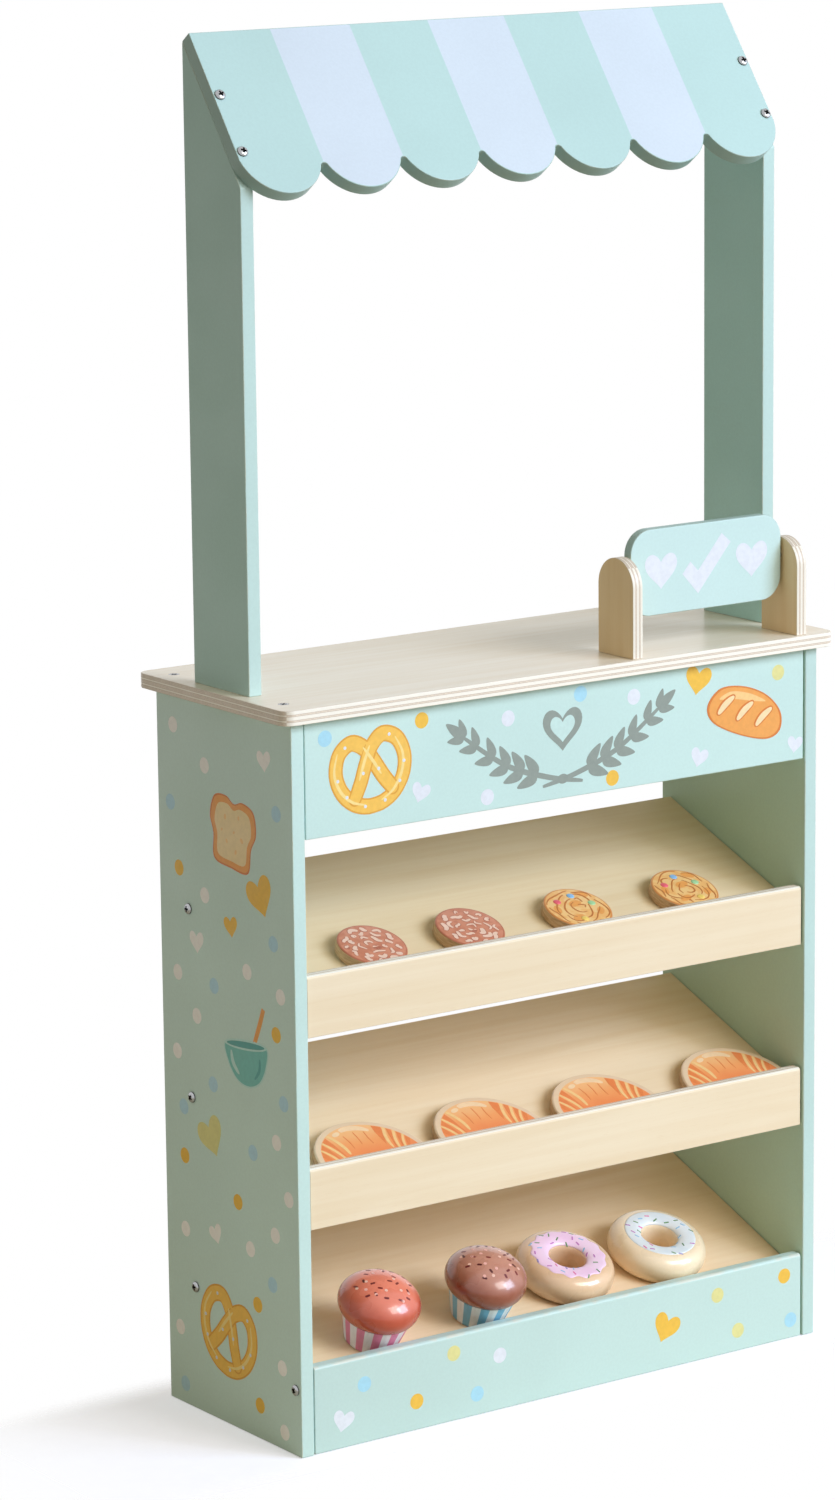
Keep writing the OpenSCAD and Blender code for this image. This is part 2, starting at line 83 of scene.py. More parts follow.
def bearing(azimuth, lift):
    """A direction by its azimuth, from straight back round to the right, and its lift above level."""
    return Vector((math.sin(azimuth) * math.cos(lift), math.cos(azimuth) * math.cos(lift), math.sin(lift)))


def linked(name, data):
    """A new object in the scene that holds the data."""
    made = bpy.data.objects.new(name, data)
    bpy.context.scene.collection.objects.link(made)
    return made


ahead = bearing(AZIMUTH, -PITCH)
right = ahead.cross(Z).normalized()
level = Matrix((right, right.cross(ahead), -ahead)).transposed()
camera = linked("camera", bpy.data.cameras.new("camera"))
camera.data.sensor_width, camera.data.lens = SENSOR, LENS
camera.matrix_world = Matrix.Translation(CAMERA_PLACE) @ (level @ Matrix.Rotation(ROLL, 3, "Z")).to_4x4()
bpy.context.scene.camera = camera
bpy.context.scene.view_settings.view_transform = "Standard"
print("camera at", [round(v, 3) for v in camera.location])

# %% [markdown]
# Node trees are long when each node takes five lines. These small helpers add a node, feed it with sockets or
# plain values, and hand back the socket that the next node needs.

# %% Node helpers
NOISE_LOW, NOISE_HIGH = 0.3, 0.7


def srgb(*channels):
    """A colour as picked on screen, 0 to 255, in the linear values that shaders use."""
    shares = [v / 255 for v in channels]
    return tuple(v / 12.92 if v <= 0.04045 else ((v + 0.055) / 1.055) ** 2.4 for v in shares) + (1.0,)


def put(tree, kind, feeds=None, **options):
    """Adds a node, sets its options, and feeds its inputs with sockets or plain values."""
    made = tree.nodes.new(kind)
    for option, value in options.items():
        setattr(made, option, value)
    for socket, value in (feeds or {}).items():
        if isinstance(value, bpy.types.NodeSocket):
            tree.links.new(value, made.inputs[socket])
        else:
            made.inputs[socket].default_value = value
    return made


def maths(tree, operation, *terms):
    return put(tree, "ShaderNodeMath", dict(enumerate(terms)), operation=operation).outputs[0]


def product(tree, first, second):
    """Two vectors or colours, multiplied part by part."""
    return put(tree, "ShaderNodeVectorMath", {0: first, 1: second}, operation="MULTIPLY").outputs[0]


def toned(tree, colour, strength):
    """A colour made lighter or darker by a value."""
    return put(tree, "ShaderNodeVectorMath", {0: colour, 3: strength}, operation="SCALE").outputs[0]


def noise(tree, vector, scale, detail=2.0, distortion=0.0):
    """A noise value. A scale for each axis draws the noise out."""
    if isinstance(scale, tuple):
        vector, scale = product(tree, vector, scale), 1.0
    feeds = {"Vector": vector, "Scale": scale, "Detail": detail, "Distortion": distortion}
    return put(tree, "ShaderNodeTexNoise", feeds).outputs["Fac"]


def ramped(tree, value, low, high, to_low=0.0, to_high=1.0):
    """Carries a value from one range to another with soft ends."""
    feeds = dict(enumerate((value, low, high, to_low, to_high)))
    return put(tree, "ShaderNodeMapRange", feeds, interpolation_type="SMOOTHSTEP").outputs[0]


def swing(tree, value, to_low, to_high):
    """Carries the middle part of a noise to the given range."""
    return ramped(tree, value, NOISE_LOW, NOISE_HIGH, to_low, to_high)


def blended(tree, factor, first, second):
    return put(tree, "ShaderNodeMix", {0: factor, 6: first, 7: second}, data_type="RGBA").outputs[2]


def colour_stops(tree, value, stops, interpolation="LINEAR"):
    made = put(tree, "ShaderNodeValToRGB", {0: value})
    made.color_ramp.interpolation = interpolation
    while len(made.color_ramp.elements) < len(stops):
        made.color_ramp.elements.new(0.5)
    for element, (position, colour) in zip(made.color_ramp.elements, stops):
        element.position, element.color = position, colour
    return made.outputs[0]


def attribute(tree, name, output="Fac"):
    return put(tree, "ShaderNodeAttribute", attribute_name=name).outputs[output]


def object_place(tree):
    return put(tree, "ShaderNodeTexCoord").outputs["Object"]


def split(tree, vector):
    return put(tree, "ShaderNodeSeparateXYZ", {0: vector}).outputs


# %% [markdown]
# A studio set: a pale round floor, and a pale surround that is dimmer and warmer below. The surround turns white only
# for camera, mirror and glass rays, so that white adds no light to the stall. The floor thins out to that white: slowly
# at the sides, where the shadow falls, and soon in front and behind, as on a sweep of white paper.

# %% Floor and surround
FLOOR_RADIUS, FLOOR_STEPS, FLOOR_DROP = 1.6, 64, 0.0004
PAPER, PAPER_WARM, FLOOR_LIFT = (0.80, 0.80, 0.93, 1), (0.80, 0.74, 0.60, 1), 0.41
SKY_ABOVE, SKY_BELOW, SKY_BLEND = (0.335, 0.31, 0.242, 1), (0.07, 0.07, 0.06, 1), 0.3
SHADOW_CORE, SHADOW_REACH = (cad_high.x - 0.012, cad_high.y - 0.010), (0.28, 0.05)


def circle(steps):
    """Evenly spaced points on a circle of radius 1."""
    return [(math.cos(TURN * s / steps), math.sin(TURN * s / steps)) for s in range(steps)]


def seen_directly(tree):
    """1 for the rays that show the surround itself: camera, mirror and glass rays."""
    path = put(tree, "ShaderNodeLightPath").outputs
    mirrored = maths(tree, "MAXIMUM", path["Is Glossy Ray"], path["Is Transmission Ray"])
    return maths(tree, "MAXIMUM", path["Is Camera Ray"], mirrored)


def beyond(tree, value, half, reach):
    """How far a coordinate lies beyond a half width, as a share of a reach, squared."""
    past = maths(tree, "SUBTRACT", maths(tree, "ABSOLUTE", value), half)
    share = maths(tree, "DIVIDE", maths(tree, "MAXIMUM", past, 0.0), reach)
    return maths(tree, "POWER", share, 2.0)


def floor_material():
    """Matt paper that casts a warm bounce, keeps the shadow near the stall and thins out to white."""
    finish = bpy.data.materials.new("studio_floor")
    finish.use_nodes = True
    tree = finish.node_tree
    tree.nodes.clear()
    place = object_place(tree)
    straight = put(tree, "ShaderNodeLightPath").outputs["Is Camera Ray"]
    fibre = swing(tree, noise(tree, place, 40.0), 0.985, 1.015)
    paper = toned(tree, blended(tree, straight, PAPER_WARM, PAPER), fibre)
    matt = put(tree, "ShaderNodeBsdfDiffuse", {"Color": paper})
    glow = put(tree, "ShaderNodeEmission", {"Strength": maths(tree, "MULTIPLY", straight, FLOOR_LIFT)})
    both = put(tree, "ShaderNodeAddShader", {0: matt.outputs[0], 1: glow.outputs[0]})
    far = [beyond(tree, *given) for given in zip(split(tree, place), SHADOW_CORE, SHADOW_REACH)]
    away = maths(tree, "SQRT", maths(tree, "ADD", *far))
    thin = maths(tree, "MULTIPLY", ramped(tree, away, 0.0, 1.0), straight)
    clear = put(tree, "ShaderNodeBsdfTransparent")
    shown = put(tree, "ShaderNodeMixShader", {0: thin, 1: both.outputs[0], 2: clear.outputs[0]})
    put(tree, "ShaderNodeOutputMaterial", {0: shown.outputs[0]})
    return finish


world = bpy.data.worlds.new("pale_surround")
world.use_nodes = True
bpy.context.scene.world = world
sky = world.node_tree
sky.nodes.clear()
height = split(sky, put(sky, "ShaderNodeTexCoord").outputs["Generated"])["Z"]
pale = blended(sky, ramped(sky, height, -SKY_BLEND, SKY_BLEND), SKY_BELOW, SKY_ABOVE)
even = put(sky, "ShaderNodeBackground", {"Color": pale})
white = put(sky, "ShaderNodeBackground", {"Color": (1, 1, 1, 1)})
shown = put(sky, "ShaderNodeMixShader", {0: seen_directly(sky), 1: even.outputs[0], 2: white.outputs[0]})
put(sky, "ShaderNodeOutputWorld", {0: shown.outputs[0]})

floor_mesh = bpy.data.meshes.new("floor")
rim = [(FLOOR_RADIUS * c, FLOOR_RADIUS * s, -FLOOR_DROP) for c, s in circle(FLOOR_STEPS)]
floor_mesh.from_pydata(rim, [], [list(range(FLOOR_STEPS))])
floor_mesh.materials.append(floor_material())
floor = linked("floor", floor_mesh)
print("floor radius", FLOOR_RADIUS)

# %% [markdown]
# Two large soft boxes stand in front of the stall, turned to its right. They make the bright fronts, the shaded left
# side and the shadow that falls to the left. A lamp's energy grows with the square of its distance, so that its
# colour alone says how much light of each primary arrives.

# %% Lamps
LAMP_AIM, LAMP_DISTANCE, LAMP_SIZE = Vector((0, 0, 0.55)), 7.0, 3.0
LAMP_UNIT = math.pi**2 * LAMP_DISTANCE**2


def soft_box(name, azimuth, elevation, colour):
    """A large square lamp, turned from the front to the right. Its colour holds how much of each primary it gives."""
    toward = bearing(math.pi - math.radians(azimuth), math.radians(elevation))
    lamp = bpy.data.lights.new(name, "AREA")
    lamp.size, lamp.energy = LAMP_SIZE, LAMP_UNIT * max(colour)
    lamp.color = [c / max(colour) for c in colour]
    holder = linked(name, lamp)
    holder.location = LAMP_AIM + toward * LAMP_DISTANCE
    holder.rotation_euler = toward.to_track_quat("Z", "Y").to_euler()
    print(name, [round(v, 2) for v in holder.location], round(lamp.energy), "W")


soft_box("key_box", 40, 22, (0.41, 0.51, 0.67))
soft_box("front_box", 20, 30, (0.44, 0.43, 0.41))

# %% [markdown]
# Three effects appear on many boards, so each is one shader node group. Sprayed paint has slow clouds of tone, the
# fine skin of tiny dimples that a spray gun leaves, and thin spots on the arrises where sanding showed the board.
# Birch veneer has long streaks, a broad figure and short dark flecks, all drawn out along the grain.
# Plywood edges show pale long-grain plies between darker end-grain plies, with thin glue lines.

# %% Shader groups
SKIN_OUTPUTS = {"Color": "Color", "Roughness": "Float", "Height": "Float"}
THICK_PLY, FIRST_PLY, PLY_WANDER = 0.68, 0.015, 0.03
STREAK_SHARE, FIGURE_SHARE = 0.28, 0.40


def node_group(name, kind, inputs, outputs):
    """An empty node group with named sockets: the group, its input sockets and its output sockets."""
    group = bpy.data.node_groups.new(name, kind)
    for in_out, sockets in (("INPUT", inputs), ("OUTPUT", outputs)):
        for label, socket in sockets.items():
            group.interface.new_socket(label, in_out=in_out, socket_type="NodeSocket" + socket)
    return group, group.nodes.new("NodeGroupInput").outputs, group.nodes.new("NodeGroupOutput").inputs


def give(group, result, **values):
    """Links values to a group's outputs."""
    for label, value in values.items():
        group.links.new(value, result[label])
    return group


def sprayed_paint_group():
    inputs = {"Position": "Vector", "Paint": "Color", "Bare": "Color", "Arris": "Float"}
    group, given, result = node_group("sprayed_paint", "ShaderNodeTree", inputs, SKIN_OUTPUTS)
    place = given["Position"]
    tone = swing(group, noise(group, place, 5.0, 3.0), 0.965, 1.025)
    grain = swing(group, noise(group, place, 420.0, 1.0), 0.985, 1.01)
    painted = toned(group, given["Paint"], maths(group, "MULTIPLY", tone, grain))
    thin = ramped(group, noise(group, place, 55.0, 3.0), 0.42, 0.62, 0.0, 0.6)
    colour = blended(group, maths(group, "MULTIPLY", thin, given["Arris"]), painted, given["Bare"])
    roughness = swing(group, noise(group, place, 14.0), 0.38, 0.52)
    return give(group, result, Color=colour, Roughness=roughness, Height=noise(group, place, 620.0, 1.0))


def birch_veneer_group():
    inputs = {"Board": "Vector", "Pale": "Color", "Dark": "Color"}
    group, given, result = node_group("birch_veneer", "ShaderNodeTree", inputs, SKIN_OUTPUTS)
    board = given["Board"]
    streak = noise(group, board, (4.0, 150.0, 1.0), 4.0, 0.4)
    figure = noise(group, board, (2.2, 16.0, 3.0), 3.0, 1.6)
    dash = ramped(group, noise(group, board, (85.0, 1500.0, 1.0), 1.0), 0.66, 0.74, 0.0, 0.35)
    mixed = maths(group, "MULTIPLY_ADD", ramped(group, streak, 0.32, 0.72), STREAK_SHARE, dash)
    mixed = maths(group, "MULTIPLY_ADD", ramped(group, figure, 0.3, 0.75), FIGURE_SHARE, mixed)
    colour = blended(group, mixed, given["Pale"], given["Dark"])
    height = maths(group, "SUBTRACT", streak, dash)
    return give(group, result, Color=colour, Roughness=swing(group, streak, 0.42, 0.58), Height=height)


def ply_edge_group():
    inputs = {"Board": "Vector", "Pairs": "Float", "End": "Float", "Pale": "Color", "Dark": "Color", "Glue": "Color"}
    group, given, result = node_group("ply_edge", "ShaderNodeTree", inputs, {"Color": "Color", "Height": "Float"})
    board, end = given["Board"], given["End"]
    wander = noise(group, board, (9.0, 9.0, 1.0))
    depth = maths(group, "MULTIPLY_ADD", wander, PLY_WANDER, split(group, board)["Z"])
    depth = maths(group, "SUBTRACT", depth, FIRST_PLY)
    layer = maths(group, "FRACT", maths(group, "MULTIPLY", depth, given["Pairs"]))
    odd = maths(group, "GREATER_THAN", layer, THICK_PLY)
    odd = maths(group, "ABSOLUTE", maths(group, "SUBTRACT", odd, end))
    pores = noise(group, board, (520.0, 520.0, 30.0))
    deep = maths(group, "MULTIPLY_ADD", end, -0.12, 1.0)
    rough_ply = toned(group, given["Dark"], maths(group, "MULTIPLY", swing(group, pores, 0.86, 1.1), deep))
    plies = blended(group, odd, toned(group, given["Pale"], swing(group, pores, 0.97, 1.03)), rough_ply)
    from_line = maths(group, "ABSOLUTE", maths(group, "SUBTRACT", layer, THICK_PLY))
    from_side = maths(group, "MINIMUM", layer, maths(group, "SUBTRACT", 1.0, layer))
    line = ramped(group, maths(group, "MINIMUM", from_line, from_side), 0.025, 0.06, 0.75, 0.0)
    height = maths(group, "SUBTRACT", maths(group, "MULTIPLY", pores, odd), line)
    return give(group, result, Color=blended(group, line, plies, given["Glue"]), Height=height)


SPRAYED_PAINT, BIRCH_VENEER, PLY_EDGE = sprayed_paint_group(), birch_veneer_group(), ply_edge_group()
print("shader groups:", [g.name for g in (SPRAYED_PAINT, BIRCH_VENEER, PLY_EDGE)])

# %% [markdown]
# Board finishes. The mint paint covers the panels, posts and sign. The awning has the same paint, mixed darker as
# painted shade, with white stripes, also darker, on its front face only: its edges stay mint, toned darker as painted
# shade. Birch plywood chooses between veneer and ply edge by a mask on each face, and reads its own board coordinates:
# along the grain, across it and through the thickness. The counter's veneer is paler than the shelves' as painted
# sheen. Each face of a board also carries a tone that multiplies its colour: painted light and shade.

# %% Board finishes
MINT, MINT_BARE, SIGN_MINT = srgb(203, 231, 228), srgb(226, 222, 205), srgb(205, 232, 231)
# Painted shade: the awning's mint and white are darker than the panels' paint.
AWNING_MINT_SHADED, STRIPE_WHITE_SHADED, STRIPE_W = srgb(187, 218, 217), srgb(212, 224, 237), 75 * MM
BIRCH, BRACKET = (srgb(246, 229, 202), srgb(234, 210, 174)), (srgb(250, 222, 178), srgb(238, 204, 152))
# Painted sheen: the counter's veneer is paler than the shelves' to stand for the bright grazing view of its top; its
# coat adds real gloss.
COUNTER_SHEEN = (srgb(250, 240, 224), srgb(240, 224, 200))
PLY_PAIRS = 2.7
PLY_TONES = {"Pale": srgb(255, 249, 238), "Dark": srgb(234, 218, 201), "Glue": srgb(192, 168, 150)}


def new_finish(name, **sockets):
    """A material, its node tree and its Principled shader, with the given plain socket values."""
    finish = bpy.data.materials.new(name)
    finish.use_nodes = True
    shader = finish.node_tree.nodes["Principled BSDF"]
    for label, value in sockets.items():
        shader.inputs[label.replace("_", " ")].default_value = value
    return finish, finish.node_tree, shader


def grouped(tree, group, **feeds):
    """The outputs of a shader group, fed with sockets or plain values."""
    return put(tree, "ShaderNodeGroup", feeds, node_tree=group).outputs


def dress(tree, shader, colour, roughness=None, height=None, relief=0.1, depth=0.0002):
    """Feeds the shader's colour, roughness and bump."""
    tree.links.new(colour, shader.inputs["Base Color"])
    if roughness is not None:
        tree.links.new(roughness, shader.inputs["Roughness"])
    if height is not None:
        bump = put(tree, "ShaderNodeBump", {"Strength": relief, "Distance": depth, "Height": height})
        tree.links.new(bump.outputs[0], shader.inputs["Normal"])


def painted_finish(name, colour, striped=False):
    finish, tree, shader = new_finish(name)
    place = object_place(tree)
    if striped:
        odd = maths(tree, "PINGPONG", maths(tree, "DIVIDE", split(tree, place)["X"], STRIPE_W), 1.0)
        stripe = maths(tree, "MULTIPLY", ramped(tree, odd, 0.494, 0.506, 1.0, 0.0), attribute(tree, "front"))
        colour = blended(tree, stripe, colour, STRIPE_WHITE_SHADED)
    skin = grouped(tree, SPRAYED_PAINT, Position=place, Paint=colour, Bare=MINT_BARE, Arris=attribute(tree, "arris"))
    # The tone attribute paints light and shade into the board.
    colour = product(tree, skin["Color"], attribute(tree, "tone", "Vector"))
    dress(tree, shader, colour, skin["Roughness"], skin["Height"], 0.08)
    return finish


def plywood_finish(name, pale, dark, **sockets):
    finish, tree, shader = new_finish(name, **sockets)
    board, on_edge = attribute(tree, "board", "Vector"), attribute(tree, "edge")
    veneer = grouped(tree, BIRCH_VENEER, Board=board, Pale=pale, Dark=dark)
    edge = grouped(tree, PLY_EDGE, Board=board, Pairs=PLY_PAIRS, End=attribute(tree, "end"), **PLY_TONES)
    colour = blended(tree, on_edge, veneer["Color"], edge["Color"])
    # The tone attribute paints light and shade into the board.
    colour = product(tree, colour, attribute(tree, "tone", "Vector"))
    feeds = {0: on_edge, 2: veneer["Height"], 3: edge["Height"]}
    height = put(tree, "ShaderNodeMix", feeds, data_type="FLOAT").outputs[0]
    dress(tree, shader, colour, veneer["Roughness"], height, 0.15)
    return finish


MINT_PAINT = painted_finish("mint_paint", MINT)
STRIPED_PAINT = painted_finish("striped_paint", AWNING_MINT_SHADED, striped=True)
SIGN_PAINT = painted_finish("sign_paint", SIGN_MINT)
BIRCH_PLYWOOD = plywood_finish("birch_plywood", *BIRCH)
BRACKET_PLYWOOD = plywood_finish("bracket_plywood", *BRACKET)
# Painted sheen: the counter gets paler veneer than the shelves.
COUNTER_PLYWOOD = plywood_finish("counter_plywood", *COUNTER_SHEEN, Coat_Weight=0.6, Coat_Roughness=0.25)
print("finishes:", MINT_PAINT.name, STRIPED_PAINT.name, SIGN_PAINT.name, BIRCH_PLYWOOD.name)

# %% [markdown]
# A saw leaves sharp edges and a toy maker sands them, so every board is a copy of its CAD solid with its outer
# edges eased by a Bevel modifier. The edges to ease are the long runs of sharp edges: the rims of screw and dowel
# holes are small closed runs, so they keep their size. Weighted normals keep the broad faces flat in the light.

# %% Eased copies
SHARP, NEARLY_FLAT, WELD, HOLE_REACH = math.radians(25), math.radians(0.4), 0.01 * MM, 12 * MM


def opened(mesh):
    """A shape to edit, with a mesh's points and faces."""
    shape = bmesh.new()
    shape.from_mesh(mesh)
    return shape


def closed(shape, mesh):
    """Writes an edited shape into a mesh."""
    shape.to_mesh(mesh)
    shape.free()
    return mesh


def touching(members, near_of):
    """Splits members into groups that touch each other, in the order in which they come."""
    waiting = dict.fromkeys(members)
    while waiting:
        group, front = [], [next(iter(waiting))]
        del waiting[front[0]]
        while front:
            group.append(front.pop())
            for near in near_of(group[-1]):
                if near in waiting:
                    del waiting[near]
                    front.append(near)
        yield group


def settle(piece):
    """Turns what the modifiers make into the piece's own plain mesh, and removes the modifiers."""
    graph = bpy.context.evaluated_depsgraph_get()
    made = bpy.data.meshes.new_from_object(piece.evaluated_get(graph), preserve_all_data_layers=True, depsgraph=graph)
    piece.modifiers.clear()
    piece.data = made
    return piece


def new_piece(name, mesh, finish=None):
    if finish is not None:
        mesh.materials.clear()
        mesh.materials.append(finish)
    return linked(name, mesh)


def eased_copy(node, name, finish, ease, steps=3):
    """A copy of a CAD solid with its outer edges rounded off."""
    shape = opened(frame["nodes"][node].data)
    bmesh.ops.remove_doubles(shape, verts=shape.verts, dist=WELD)
    bmesh.ops.dissolve_limit(shape, angle_limit=NEARLY_FLAT, verts=shape.verts, edges=shape.edges)
    weight = shape.edges.layers.float.new("bevel_weight_edge")
    sharp = [e for e in shape.edges if e.calc_face_angle(0) > SHARP]
    for run in touching(sharp, lambda edge: [e for v in edge.verts for e in v.link_edges]):
        corners = np.array([v.co for e in run for v in e.verts])
        reach = sorted(corners.max(0) - corners.min(0))
        for edge in run:
            edge[weight] = float(reach[1] > HOLE_REACH)
    for face in shape.faces:
        face.smooth = True
    piece = new_piece(name, closed(shape, bpy.data.meshes.new(name)), finish)
    bevel = piece.modifiers.new("ease", "BEVEL")
    bevel.width, bevel.segments, bevel.limit_method = ease, steps, "WEIGHT"
    bevel.use_clamp_overlap, bevel.loop_slide = False, False
    piece.modifiers.new("flat", "WEIGHTED_NORMAL").keep_sharp = True
    return settle(piece)


# %% [markdown]
# A finish has to know where it is on a board. These helpers store that in attributes: the board's own coordinates,
# which faces are edges, ends or the front, how rounded a point is, and the tone of the face, which is painted light and
# shade.

# %% Marks on a board
END_ON, EDGE_ON, FACE_ON, ROUND_LOW, ROUND_HIGH = 0.7, 0.75, 0.97, 0.05, 0.95
FIELDS = {"FLOAT": "value", "FLOAT_VECTOR": "vector", "FLOAT_COLOR": "color"}


def store(mesh, name, kind, domain, values):
    made = mesh.attributes.new(name, kind, domain)
    made.data.foreach_set(FIELDS[kind], np.asarray(values, np.float32).ravel())


def mark_board(piece, tone, back_light_tone, edge_shade_tone, along, across, through):
    """Gives a board its coordinates, a mask for its edges and one for the rounded arrises, and tones of painted light
    and shade for its face, its back and its edges.
    """
    mesh = piece.data
    points = np.array([v.co for v in mesh.vertices])
    depth = points @ np.array(through)
    depth = (depth - depth.min()) / np.ptp(depth)
    store(mesh, "board", "FLOAT_VECTOR", "POINT", np.stack([points @ along, points @ across, depth], 1))
    normals = np.array([p.normal for p in mesh.polygons])
    facing = normals @ np.array(through)
    tilt = np.abs(facing)
    store(mesh, "end", "FLOAT", "FACE", np.abs(normals @ np.array(along)) > END_ON)
    store(mesh, "edge", "FLOAT", "FACE", tilt < EDGE_ON)
    store(mesh, "front", "FLOAT", "FACE", facing > FACE_ON)
    rounded = np.ones(len(points), bool)
    for face, t in zip(mesh.polygons, tilt):
        if not ROUND_LOW < t < ROUND_HIGH:
            rounded[list(face.vertices)] = False
    store(mesh, "arris", "FLOAT", "POINT", rounded)
    # Painted light and shade: the back and the edges of a board get tones of their own.
    tones = [back_light_tone if f < -FACE_ON else edge_shade_tone if abs(f) < EDGE_ON else tone for f in facing]
    store(mesh, "tone", "FLOAT_VECTOR", "FACE", tones)


def hand_over(piece, body, slot=None, *nodes):
    """Lets a finished piece ride on its body and stand for its CAD nodes."""
    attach(piece, body)
    if nodes:
        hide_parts(*nodes)
    return piece


# %% [markdown]
# Now all the boards. Each has its finish, its ease and its axes: along the grain, across it, and through to its front.
# Faces, backs and edges have tones of their own, which are painted light and shade: darker on faces that stand in
# shade, such as the inside of the right panel, the sides of the posts, the kick panel and the edges of the awning and
# the sign, and lighter on the outside of the left panel. The front panels and the shelf lips are made a little short,
# so that their joints with the sides show as thin dark lines.

# %% Boards
SHELF_SLOPE, AWNING_SLOPE = math.radians(21), math.radians(54)
PAINT_EASE, PLY_EASE, SIGN_EASE, SEAM = 0.9 * MM, 0.6 * MM, 1.0 * MM, 0.9 * MM


def off_slope(slope):
    return Vector((0, -math.sin(slope), math.cos(slope)))


def sloped(slope):
    return X, Vector((0, math.cos(slope), math.sin(slope))), off_slope(slope)


UPRIGHT, FACING = (Z, Y, X), (X, Z, -Y)
SIDES, POSTS = ("left_side_panel", "right_side_panel"), ("left_post", "right_post")
PANELS, LIPS = ("header_panel", "kick_panel"), ("top_shelf_lip", "middle_shelf_lip")
SHELVES, BRACKETS = ("top_shelf", "middle_shelf", "bottom_shelf"), ("sign_left_bracket", "sign_right_bracket")
PLAIN_TONE = (1, 1, 1)
# Painted light and shade: these tones darken faces that stand in shade and lighten the left panel's outer face.
BOARD_LIGHT_TONES = {"kick_panel": (0.95, 0.94, 0.94), "right_side_panel": (0.92, 0.92, 0.92)}
BOARD_LIGHT_TONES |= dict.fromkeys(POSTS, (0.91, 0.91, 0.90)) | dict.fromkeys(LIPS, (0.98, 0.98, 0.98))
BOARD_LIGHT_TONES |= dict.fromkeys(BRACKETS, (0.93, 0.92, 0.90))
BOARD_LIGHT_TONES |= dict(zip(SHELVES, ((0.98, 0.96, 0.87), (1.05, 1.03, 0.99), (1.03, 0.95, 0.86))))
BACK_LIGHT_TONES = dict(zip(SIDES + POSTS, ((1.10, 1.06, 1.06), (0.88, 0.90, 0.75), (0.83, 0.89, 0.88), (0.81, 0.95, 0.92))))
EDGE_SHADE_TONES = {"awning_board": (0.74, 0.74, 0.70), "sign_board": (0.68, 0.72, 0.70)}
BOARD_SETS = (
    (SIDES, MINT_PAINT, "mint_paint", PAINT_EASE, UPRIGHT),
    (PANELS, MINT_PAINT, "mint_paint", PAINT_EASE, FACING),
    (POSTS, MINT_PAINT, "mint_paint", PAINT_EASE, UPRIGHT),
    (("awning_board",), STRIPED_PAINT, "striped_paint", PAINT_EASE, sloped(AWNING_SLOPE)),
    (("countertop",), COUNTER_PLYWOOD, "birch_plywood", PLY_EASE, (X, Y, Z)),
    (SHELVES, BIRCH_PLYWOOD, "birch_plywood", PLY_EASE, sloped(SHELF_SLOPE)),
    (LIPS, BIRCH_PLYWOOD, "birch_plywood", PLY_EASE, FACING),
    (BRACKETS, BRACKET_PLYWOOD, "birch_plywood", PLY_EASE, UPRIGHT),
    (("sign_board",), SIGN_PAINT, "sign_paint", SIGN_EASE, FACING),
)
for nodes, finish, slot, ease, axes in BOARD_SETS:
    for node in nodes:
        board = eased_copy(node, node + "_eased", finish, ease)
        if node in PANELS + LIPS:
            board.data.transform(Matrix.Diagonal((1 - 2 * SEAM / board.dimensions.x, 1, 1, 1)))
        tone = BOARD_LIGHT_TONES.get(node, PLAIN_TONE)
        mark_board(board, tone, BACK_LIGHT_TONES.get(node, tone), EDGE_SHADE_TONES.get(node, tone), *axes)
        hand_over(board, "sign" if node == "sign_board" else "stall", slot, node)
        print(node, len(board.data.polygons), "faces")

# %% [markdown]
# Screws, dowels, dots, hearts and candies all repeat one small shape at known spots. One Geometry Nodes tree does it:
# it stands an instance of a template on each point, turned by the point's own aim and up directions and sized by its
# own size, then realizes the instances and sets their finish. The points carry the ink colour to the copies.

# %% Geometry Nodes: set a template on points
SPOT_FIELDS = {"aim": "FLOAT_VECTOR", "up": "FLOAT_VECTOR", "size": "FLOAT", "ink": "FLOAT_COLOR"}


def copies_on(tree, given, result, template, feeds):
    """The end of a tree: copies of a template on points, made real and given their finish."""
    shape = put(tree, "GeometryNodeObjectInfo", {"Object": template})
    copies = put(tree, "GeometryNodeInstanceOnPoints", feeds | {"Instance": shape.outputs["Geometry"]})
    real = put(tree, "GeometryNodeRealizeInstances", {0: copies.outputs[0]})
    done = put(tree, "GeometryNodeSetMaterial", {"Geometry": real.outputs[0], "Material": given["Finish"]})
    return give(tree, result, Geometry=done.outputs[0])


def set_on_points_tree():
    inputs = {"Spots": "Geometry", "Template": "Object", "Finish": "Material"}
    tree, given, result = node_group("set_on_points", "GeometryNodeTree", inputs, {"Geometry": "Geometry"})
    aim, up, size = (
        put(tree, "GeometryNodeInputNamedAttribute", {0: name}, data_type=SPOT_FIELDS[name]).outputs[0]
        for name in ("aim", "up", "size")
    )
    turn = put(tree, "FunctionNodeAxesToRotation", {0: aim, 1: up}, primary_axis="Z", secondary_axis="Y")
    feeds = {"Points": given["Spots"], "Rotation": turn.outputs[0], "Scale": size}
    return copies_on(tree, given, result, given["Template"], feeds)


SET_ON_POINTS = set_on_points_tree()
print("node tree:", SET_ON_POINTS.name)


def run_nodes(piece, tree, inputs):
    """Runs a tree on a piece with its inputs set by socket identifier, and keeps the mesh it makes."""
    modifier = piece.modifiers.new("build", "NODES")
    modifier.node_group = tree
    for item in tree.interface.items_tree:
        if item.in_out == "INPUT" and item.name in inputs:
            modifier[item.identifier] = inputs[item.name]
    return settle(piece)


